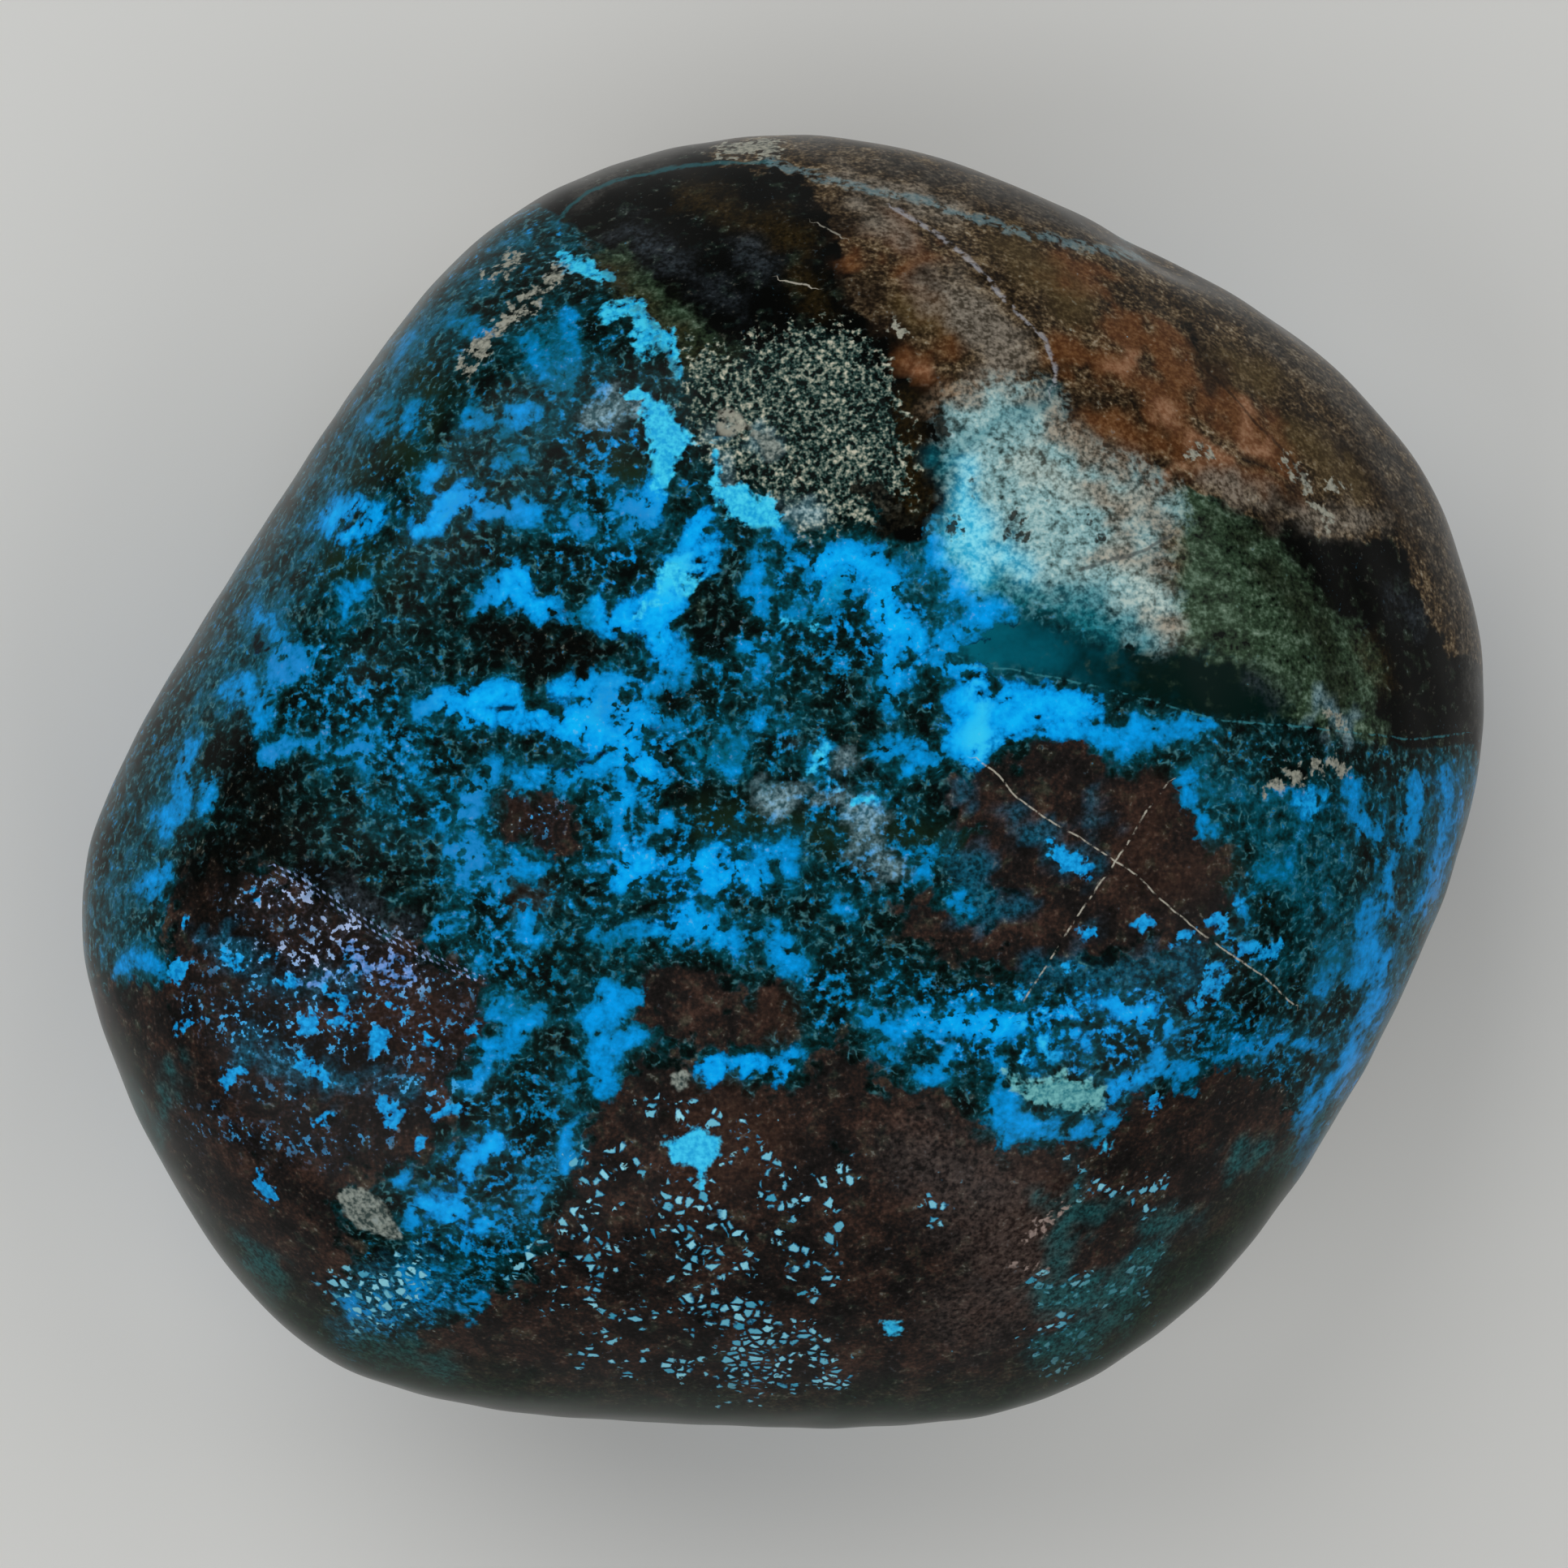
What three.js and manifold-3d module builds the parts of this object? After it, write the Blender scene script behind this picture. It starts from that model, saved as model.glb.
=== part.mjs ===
// Chrysocolla palm stone: one natural stone, ground and polished to a plump pillow
// with soft flats all round, and a worn flat underneath that it rests on.
// Millimetres, +Z up. +X runs along the stone's longest reach. The origin is on the
// resting surface, below the middle of the stone's outline.
import * as THREE from 'three';
import { mergeVertices } from 'three/addons/utils/BufferGeometryUtils.js';
import Module from 'manifold-3d';

const wasm = await Module();
wasm.setup();

// The soft flats ground round the stone. facing is the compass angle in plan, in
// degrees from +X towards +Y, tilt is how far the flat faces up, in degrees, and
// reach is how far it stands from the stone's middle, in millimetres.
const FLATS = {
  leftFlank: { facing: 146, tilt: 4, reach: 25.4 },
  backLeftCorner: { facing: 108, tilt: 0, reach: 27.8 },
  backFlank: { facing: 69, tilt: 0, reach: 27.2 },
  backRightCorner: { facing: 43, tilt: 0, reach: 31.0 },
  rightCorner: { facing: 14, tilt: 0, reach: 32.8 },
  frontRightFlank: { facing: 335, tilt: 0, reach: 28.9 },
  frontRightCorner: { facing: 302, tilt: 0, reach: 32.2 },
  frontFlank: { facing: 267, tilt: 0, reach: 30.3 },
  frontLeftCorner: { facing: 227, tilt: 0, reach: 37.6 },
  leftCorner: { facing: 197, tilt: 0, reach: 33.3 },

  upperLeft: { facing: 156, tilt: 40, reach: 24.0 },
  upperBack: { facing: 100, tilt: 46, reach: 22.6 },
  upperBackRight: { facing: 50, tilt: 42, reach: 23.6 },
  upperRight: { facing: 5, tilt: 44, reach: 24.6 },
  upperFrontRight: { facing: 316, tilt: 42, reach: 24.8 },
  upperFront: { facing: 268, tilt: 44, reach: 24.6 },
  upperFrontLeft: { facing: 222, tilt: 38, reach: 29.6 },
  crown: { facing: 210, tilt: 84, reach: 16.0 },

  underLeft: { facing: 160, tilt: -46, reach: 22.4 },
  underBack: { facing: 80, tilt: -44, reach: 22.8 },
  underRight: { facing: 10, tilt: -46, reach: 24.2 },
  underFrontRight: { facing: 300, tilt: -44, reach: 24.4 },
  underFrontLeft: { facing: 227, tilt: -42, reach: 28.6 },
};

// The pillow that the flats are ground on: its half sizes, and how square it is
const PILLOW = { halfLength: 43, halfWidth: 41, halfHeight: 16.4, squareness: 2.3 };

// Shallow hollows left by the grinding. spread is the angle in degrees, seen from
// the stone's middle, over which a hollow fades, and depth is in millimetres.
const HOLLOWS = {
  backRim: { facing: 54, tilt: 6, spread: 5, depth: 0.45 },
  backCrease: { facing: 74, tilt: 20, spread: 7, depth: 0.35 },
  leftCrease: { facing: 196, tilt: 34, spread: 9, depth: 0.35 },
};

const EDGE_CRISPNESS = 14; // higher makes a sharper edge between neighbouring flats
const REST_DEPTH = 16.1; // from the stone's middle down to the flat that it rests on
const EDGE_STEPS = 17; // cuts along each edge of the icosahedron that the stone starts as
const CUTTER_SIZE = 100; // side of the block that grinds the resting flat, in millimetres

// A unit vector from a compass angle and a tilt
function direction({ facing, tilt }) {
  const turn = THREE.MathUtils.degToRad(facing);
  const rise = THREE.MathUtils.degToRad(tilt);
  const level = Math.cos(rise);
  return new THREE.Vector3(level * Math.cos(turn), level * Math.sin(turn), Math.sin(rise));
}

const flats = Object.values(FLATS).map((flat) => ({ normal: direction(flat), reach: flat.reach }));

const hollows = Object.values(HOLLOWS).map((hollow) => ({
  towards: direction(hollow),
  spread: THREE.MathUtils.degToRad(hollow.spread),
  depth: hollow.depth,
}));

// One over the distance from the stone's middle to the bare pillow's skin
function pillowNearness(ray) {
  const { halfLength, halfWidth, halfHeight, squareness } = PILLOW;
  const sum = Math.abs(ray.x / halfLength) ** squareness
    + Math.abs(ray.y / halfWidth) ** squareness
    + Math.abs(ray.z / halfHeight) ** squareness;
  return sum ** (1 / squareness);
}

// The distance from the stone's middle to its skin along a ray. The pillow and the
// flats are blended: the nearest one rules, and edges between them are rounded.
function skinDistance(ray) {
  let sum = pillowNearness(ray) ** EDGE_CRISPNESS;
  for (const flat of flats) {
    const facing = Math.max(0, ray.dot(flat.normal));
    sum += (facing / flat.reach) ** EDGE_CRISPNESS;
  }
  let distance = sum ** (-1 / EDGE_CRISPNESS);
  for (const hollow of hollows) {
    const away = ray.angleTo(hollow.towards) / hollow.spread;
    distance -= hollow.depth * Math.exp(-away * away);
  }
  return distance;
}

// A closed geometry as a solid that can be cut
function toSolid(geometry) {
  const bare = geometry.clone();
  bare.deleteAttribute('normal');
  bare.deleteAttribute('uv');
  const merged = mergeVertices(bare, 1e-4);
  return new wasm.Manifold(new wasm.Mesh({
    numProp: 3,
    vertProperties: new Float32Array(merged.attributes.position.array),
    triVerts: new Uint32Array(merged.index.array),
  }));
}

// A cut solid as a geometry again
function toGeometry(solid) {
  const mesh = solid.getMesh();
  const geometry = new THREE.BufferGeometry();
  geometry.setAttribute('position', new THREE.BufferAttribute(new Float32Array(mesh.vertProperties), 3));
  geometry.setIndex(new THREE.BufferAttribute(new Uint32Array(mesh.triVerts), 1));
  geometry.computeVertexNormals();
  return geometry;
}

// The rounded stone about its own middle, before the resting flat is ground
function roundedStone() {
  const geometry = new THREE.IcosahedronGeometry(1, EDGE_STEPS);
  const points = geometry.attributes.position;
  const ray = new THREE.Vector3();
  for (let i = 0; i < points.count; i += 1) {
    ray.fromBufferAttribute(points, i).normalize();
    ray.multiplyScalar(skinDistance(ray));
    points.setXYZ(i, ray.x, ray.y, ray.z);
  }
  return geometry;
}

// The finished stone: the flat is ground underneath, then the stone is stood on its
// flat with the middle of its outline over the origin
function palmStoneGeometry() {
  const cutter = new THREE.BoxGeometry(CUTTER_SIZE, CUTTER_SIZE, CUTTER_SIZE);
  cutter.translate(0, 0, -REST_DEPTH - CUTTER_SIZE / 2);
  const geometry = toGeometry(toSolid(roundedStone()).subtract(toSolid(cutter)));
  geometry.computeBoundingBox();
  const middle = geometry.boundingBox.getCenter(new THREE.Vector3());
  geometry.translate(-middle.x, -middle.y, REST_DEPTH);
  return geometry;
}

const polishedStone = new THREE.MeshStandardMaterial({
  color: 0x145a78,
  roughness: 0.2,
  metalness: 0,
});

const palmStone = new THREE.Mesh(palmStoneGeometry(), polishedStone);
palmStone.name = 'palm_stone';

const stone = new THREE.Group();
stone.add(palmStone);

export default stone;
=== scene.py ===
import bpy
import numpy as np
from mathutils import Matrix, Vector


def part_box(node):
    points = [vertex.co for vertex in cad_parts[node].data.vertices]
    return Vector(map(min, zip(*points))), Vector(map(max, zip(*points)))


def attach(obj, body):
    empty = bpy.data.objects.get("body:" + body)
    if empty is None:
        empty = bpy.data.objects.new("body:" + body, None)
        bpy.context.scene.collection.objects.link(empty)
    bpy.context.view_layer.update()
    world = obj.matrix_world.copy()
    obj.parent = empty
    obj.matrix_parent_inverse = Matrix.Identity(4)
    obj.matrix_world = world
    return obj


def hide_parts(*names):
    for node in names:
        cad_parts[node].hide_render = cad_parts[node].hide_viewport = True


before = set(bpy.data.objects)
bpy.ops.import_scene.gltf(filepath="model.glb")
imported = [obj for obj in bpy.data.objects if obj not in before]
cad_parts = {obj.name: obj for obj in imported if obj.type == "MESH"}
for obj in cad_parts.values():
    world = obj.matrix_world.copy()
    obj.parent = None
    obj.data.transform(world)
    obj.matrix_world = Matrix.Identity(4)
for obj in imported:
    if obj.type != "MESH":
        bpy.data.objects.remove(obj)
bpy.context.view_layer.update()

mm = 0.001


# The picture that the marks are placed by: 1932 pixels each way, seen straight
# from above, with the stone's middle at middleX, middleY

picture = {
    "pixels": 1932,
    "middleX": 966.0,
    "middleY": 966.0,
    "frameWidth": 69.55,     # mm of the stone's mid-plane across the whole picture
    "lens": 105.0,           # mm
    "sensor": 36.0,          # mm
    "midPlane": 16.1,        # mm above the floor
}
picture["distance"] = picture["frameWidth"] * picture["lens"] / picture["sensor"]
picture["perMm"] = picture["pixels"] / picture["frameWidth"]


def toPicture(points):
    # pixel = middle + offset * distance / (distance - height over the mid-plane) * pixels per mm
    height = points[:, 2] - picture["midPlane"]
    near = picture["distance"] / (picture["distance"] - height) * picture["perMm"]
    across = picture["middleX"] + points[:, 0] * near
    down = picture["middleY"] - points[:, 1] * near
    return across, down


# Shape of the stone, in mm: the same flats, pillow and hollows as the solid

stoneShape = {
    "flats": {               # facing in degrees from +X, tilt up in degrees, reach in mm
        "leftFlank": (146, 4, 25.4),
        "backLeftCorner": (108, 0, 27.8),
        "backFlank": (69, 0, 27.2),
        "backRightCorner": (43, 0, 31.0),
        "rightCorner": (14, 0, 32.8),
        "frontRightFlank": (335, 0, 28.9),
        "frontRightCorner": (302, 0, 32.2),
        "frontFlank": (267, 0, 30.3),
        "frontLeftCorner": (227, 0, 37.6),
        "leftCorner": (197, 0, 33.3),
        "upperLeft": (156, 40, 24.0),
        "upperBack": (100, 46, 22.6),
        "upperBackRight": (50, 42, 23.6),
        "upperRight": (5, 44, 24.6),
        "upperFrontRight": (316, 42, 24.8),
        "upperFront": (268, 44, 24.6),
        "upperFrontLeft": (222, 38, 29.6),
        "crown": (210, 84, 16.0),
        "underLeft": (160, -46, 22.4),
        "underBack": (80, -44, 22.8),
        "underRight": (10, -46, 24.2),
        "underFrontRight": (300, -44, 24.4),
        "underFrontLeft": (227, -42, 28.6),
    },
    "pillow": (43.0, 41.0, 16.4),
    "squareness": 2.3,
    "hollows": {             # facing, tilt, spread in degrees, depth in mm
        "backRim": (54, 6, 5, 0.45),
        "backCrease": (74, 20, 7, 0.35),
        "leftCrease": (196, 34, 9, 0.35),
    },
    "crispness": 14,
    "restDepth": 16.1,
    "cells": 240,            # along each side of the grid over the top
    "rings": 42,             # from the widest line down to the pole underneath
    "spread": (30.0, 28.0, 15.0),
    "undulation": 0.035,     # mm
    "pits": {                # pixels across and down, spread in pixels, depth in mm
        "ringHole": (900, 520, 9, 0.10),
        "slit": (975, 580, 8, 0.08),
        "notch": (1214, 610, 10, 0.08),
        "starHole": (830, 524, 8, 0.06),
    },
}


def towards(facing, tilt):
    turn, rise = np.radians(facing), np.radians(tilt)
    return np.array([np.cos(turn) * np.cos(rise), np.sin(turn) * np.cos(rise), np.sin(rise)])


def skinDistance(rays):
    # distance = (sum over flats of max(0, ray . normal / reach)^k + pillow^k)^(-1/k)
    #            - sum over hollows of depth * exp(-(angle / spread)^2)
    k = stoneShape["crispness"]
    flats = np.array(list(stoneShape["flats"].values()), dtype=float)
    normals = np.array([towards(f, t) for f, t, reach in flats])
    facing = np.maximum(0.0, rays @ normals.T) / flats[:, 2]
    e = stoneShape["squareness"]
    pillow = ((np.abs(rays) / np.array(stoneShape["pillow"])) ** e).sum(axis=1) ** (1.0 / e)
    distance = ((facing ** k).sum(axis=1) + pillow ** k) ** (-1.0 / k)
    for f, t, spread, depth in stoneShape["hollows"].values():
        angle = np.arccos(np.clip(rays @ towards(f, t), -1.0, 1.0))
        distance -= depth * np.exp(-(angle / np.radians(spread)) ** 2)
    return distance


def stoneGrid(cells, rings, spread):
    # top: a square grid (a, b) drawn out to a disc (a sqrt(1 - b^2/2), b sqrt(1 - a^2/2)), whose
    # radius is the part of a quarter turn down from straight up. Rings carry its rim down to a
    # pole underneath, and the rays are stretched by spread
    t = np.linspace(-1, 1, cells + 1)
    a, b = np.meshgrid(t, t, indexing="ij")
    x, y = (a * np.sqrt(1 - b * b / 2)).ravel(), (b * np.sqrt(1 - a * a / 2)).ravel()
    index = np.arange((cells + 1) ** 2).reshape(cells + 1, cells + 1)
    rim = np.concatenate([index[:-1, 0], index[-1, :-1], index[:0:-1, -1], index[0, :0:-1]])
    turn = np.arctan2(y, x)
    fall = np.hypot(x, y) * np.pi / 2
    ringFalls = np.pi / 2 * (1 + np.arange(1, rings) / rings)
    ringFall, ringTurn = np.meshgrid(ringFalls, turn[rim], indexing="ij")
    turn = np.concatenate([turn, ringTurn.ravel(), [0.0]])
    fall = np.concatenate([fall, ringFall.ravel(), [np.pi]])
    rays = np.stack([np.sin(fall) * np.cos(turn), np.sin(fall) * np.sin(turn), np.cos(fall)], axis=1)
    rays *= np.array(spread)
    rays /= np.linalg.norm(rays, axis=1)[:, None]
    rows = np.arange(index.size, len(rays) - 1).reshape(rings - 1, len(rim))
    rows = np.concatenate([rim[None], rows])
    following = np.roll(rows, -1, axis=1)
    top = np.stack([index[:-1, :-1], index[1:, :-1], index[1:, 1:], index[:-1, 1:]], axis=-1).reshape(-1, 4)
    side = np.stack([rows[1:], following[1:], following[:-1], rows[:-1]], axis=-1).reshape(-1, 4)
    pole = np.full(len(rim), len(rays) - 1)
    cap = np.stack([pole, following[-1], rows[-1]], axis=-1)
    return rays, np.concatenate([top, side]), cap


def waves(points, seed, count, shortest, longest):
    # sum of sines along random directions, each with its own wavelength in mm; about -1 to 1
    rng = np.random.default_rng(seed)
    total = np.zeros(len(points))
    for _ in range(count):
        way = rng.normal(size=3)
        way /= np.linalg.norm(way)
        length = rng.uniform(shortest, longest)
        total += np.sin(points @ way * 2 * np.pi / length + rng.uniform(0, 2 * np.pi))
    return total / np.sqrt(count)


def stonePoints():
    # point = ray * (distance + undulation), cut level at the resting flat
    rays, quads, cap = stoneGrid(stoneShape["cells"], stoneShape["rings"], stoneShape["spread"])
    distance = skinDistance(rays)
    points = rays * distance[:, None]
    distance += stoneShape["undulation"] * waves(points, 3, 24, 2.5, 9.0)
    points = rays * distance[:, None]
    points[:, 2] = np.maximum(points[:, 2], -stoneShape["restDepth"])
    low, high = (np.array(corner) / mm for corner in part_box("palm_stone"))
    middle = (points.min(axis=0) + points.max(axis=0)) / 2
    points[:, :2] += ((low + high) / 2 - middle)[:2]
    points[:, 2] += stoneShape["restDepth"]
    # pits: height - depth * exp(-(distance / spread)^2), on the side that the picture shows
    across, down = toPicture(points)
    shown = points[:, 2] > picture["midPlane"]
    for x, y, spread, depth in stoneShape["pits"].values():
        points[:, 2] -= shown * depth * np.exp(-((across - x) ** 2 + (down - y) ** 2) / spread ** 2)
    return points, quads, cap


def makeMesh(name, points, quads, triangles):
    mesh = bpy.data.meshes.new(name)
    mesh.vertices.add(len(points))
    mesh.vertices.foreach_set("co", (points * mm).astype(np.float32).ravel())
    corners = np.concatenate([quads.ravel(), triangles.ravel()]).astype(np.int32)
    starts = np.concatenate([np.arange(0, quads.size, 4), quads.size + np.arange(0, triangles.size, 3)])
    mesh.loops.add(len(corners))
    mesh.loops.foreach_set("vertex_index", corners)
    mesh.polygons.add(len(starts))
    mesh.polygons.foreach_set("loop_start", starts.astype(np.int32))
    mesh.update(calc_edges=True)
    mesh.validate()
    mesh.shade_smooth()
    return mesh


# Where the colours lie, in pixels of the picture. A zone is an outline. A mark is a
# stroke: points with a half width each, (across, down, half width).

zones = {
    "brown": {               # tan and rust cap at the back right corner
        "cap": [(878, 60), (880, 190), (900, 200), (960, 203), (990, 212), (1012, 240), (1030, 275),
                (1042, 300), (1052, 340), (1056, 372), (1092, 396), (1128, 428), (1160, 462), (1174, 498),
                (1225, 512), (1290, 525), (1345, 548), (1400, 572), (1452, 592), (1500, 608), (1545, 628),
                (1600, 640), (1650, 655), (1700, 655), (1722, 640), (1745, 700), (1768, 760), (1790, 800),
                (2000, 800), (2000, 60)],
    },
    "black": {               # glassy black windows
        "window": [(600, 200), (700, 262), (720, 275), (745, 292), (775, 322), (805, 352), (840, 392),
                   (872, 425), (900, 440), (930, 430), (960, 415), (1000, 405), (1040, 402), (1092, 400),
                   (1056, 372), (1052, 340), (1042, 300), (1030, 275), (1012, 240), (990, 212),
                   (960, 203), (900, 200), (880, 190), (878, 60), (600, 60)],
        "channel": [(1040, 395), (1092, 396), (1128, 428), (1150, 470), (1150, 560), (1158, 620),
                    (1152, 655), (1110, 660), (1100, 600), (1098, 520), (1085, 460), (1060, 425)],
        "right": [(1505, 612), (1545, 630), (1600, 643), (1650, 656), (1700, 660), (1722, 642),
                  (1745, 700), (1768, 760), (1790, 800), (2000, 800), (2000, 906), (1800, 906),
                  (1745, 913), (1700, 905), (1680, 880), (1690, 830), (1672, 780), (1625, 760),
                  (1605, 720), (1575, 682), (1530, 657)],
    },
    "moss": {                # moss green and olive
        "right": [(1452, 600), (1500, 612), (1520, 640), (1575, 682), (1605, 720), (1625, 760),
                  (1672, 780), (1692, 830), (1682, 880), (1700, 905), (1640, 890), (1600, 880),
                  (1585, 860), (1560, 822), (1520, 808), (1470, 792), (1450, 740), (1438, 690),
                  (1438, 650)],
        "border": [(735, 318), (760, 318), (800, 350), (840, 392), (872, 425), (900, 442), (880, 458),
                   (850, 452), (838, 425), (800, 392), (770, 355)],
    },
    "deepTeal": {
        "band": [(1176, 800), (1205, 770), (1245, 762), (1290, 772), (1340, 790), (1400, 800),
                 (1470, 806), (1520, 812), (1560, 820), (1592, 850), (1590, 884), (1500, 887),
                 (1450, 873), (1400, 859), (1350, 846), (1290, 833), (1230, 824), (1190, 815)],
    },
    "pale": {                # pale turquoise crust
        "crust": [(1168, 512), (1190, 486), (1230, 474), (1285, 480), (1300, 500), (1296, 522),
                  (1335, 556), (1390, 576), (1445, 606), (1454, 632), (1436, 660), (1430, 700),
                  (1444, 740), (1448, 772), (1425, 790), (1390, 778), (1350, 745), (1295, 738),
                  (1250, 728), (1215, 708), (1190, 700), (1178, 650), (1176, 600), (1170, 555)],
    },
    "speckle": {             # cream and teal grains on black
        "crust": [(905, 445), (950, 415), (1000, 405), (1040, 407), (1075, 435), (1095, 470), (1110, 520),
                  (1120, 570), (1118, 612), (1060, 640), (1000, 650), (950, 610), (900, 595), (868, 560),
                  (850, 500), (852, 430), (875, 435)],
    },
    "leaf": {                # tan leaf at the front left
        "leaf": [(414, 1472), (428, 1464), (452, 1466), (472, 1481), (484, 1502), (497, 1529),
                 (470, 1522), (440, 1511), (424, 1492)],
        "oval": [(827, 1324), (836, 1317), (847, 1322), (851, 1334), (844, 1344), (832, 1342)],
        "lens": [(925, 530), (938, 525), (953, 537), (966, 556), (963, 570), (948, 569), (934, 552)],
    },
    "star": {                # crisp blue stars in the front maroon
        "large": [(813, 1404), (822, 1402), (838, 1402), (848, 1396), (856, 1388), (866, 1389),
                  (870, 1398), (886, 1401), (885, 1412), (890, 1425), (872, 1434), (868, 1452),
                  (866, 1470), (859, 1446), (850, 1432), (832, 1436), (824, 1428), (826, 1414)],
        "small": [(1084, 1628), (1095, 1630), (1108, 1626), (1110, 1636), (1113, 1644), (1100, 1644),
                  (1093, 1650), (1090, 1640)],
        "dot": [(1355, 1410), (1364, 1404), (1372, 1410), (1366, 1420), (1357, 1419)],
    },
    "maroon": {
        "right": [(1215, 948), (1250, 932), (1285, 912), (1330, 905), (1352, 920), (1365, 945),
                  (1420, 955), (1455, 965), (1468, 1000), (1500, 1050), (1518, 1100), (1505, 1140),
                  (1470, 1165), (1400, 1175), (1330, 1178), (1280, 1192), (1230, 1200), (1190, 1185),
                  (1150, 1170), (1112, 1150), (1105, 1118), (1140, 1105), (1180, 1130), (1230, 1150),
                  (1240, 1110), (1200, 1060), (1180, 1010), (1170, 970)],
        "front": [(560, 1625), (600, 1602), (640, 1585), (672, 1545), (690, 1500), (712, 1440),
                  (725, 1400), (742, 1368), (765, 1330), (800, 1302), (850, 1318), (880, 1338),
                  (930, 1345), (1000, 1330), (1010, 1300), (1040, 1282), (1065, 1300), (1080, 1342),
                  (1130, 1345), (1180, 1360), (1205, 1400), (1240, 1420), (1300, 1408), (1350, 1400),
                  (1370, 1365), (1410, 1345), (1460, 1345), (1495, 1318), (1530, 1322), (1570, 1345),
                  (1592, 1370), (1600, 1410), (1590, 1480), (1800, 1600), (1500, 2000), (400, 2000),
                  (200, 1700), (420, 1690)],
        "left": [(20, 1218), (150, 1216), (205, 1216), (215, 1170), (208, 1120), (225, 1080), (250, 1065),
                 (300, 1060), (330, 1075), (370, 1092), (430, 1126), (510, 1166), (552, 1190),
                 (590, 1206), (598, 1260), (560, 1320), (545, 1400), (500, 1440), (440, 1450),
                 (410, 1480), (430, 1540), (410, 1620), (300, 1900), (20, 1700)],
        "middle": [(785, 1200), (830, 1182), (880, 1188), (900, 1202), (905, 1240), (930, 1220),
                   (962, 1205), (968, 1270), (940, 1290), (890, 1290), (850, 1285), (800, 1270),
                   (780, 1240)],
        "spots": [(622, 985), (650, 976), (680, 985), (705, 1000), (712, 1040), (690, 1055), (660, 1045),
                  (630, 1030), (612, 1005)],
    },
}

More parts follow.
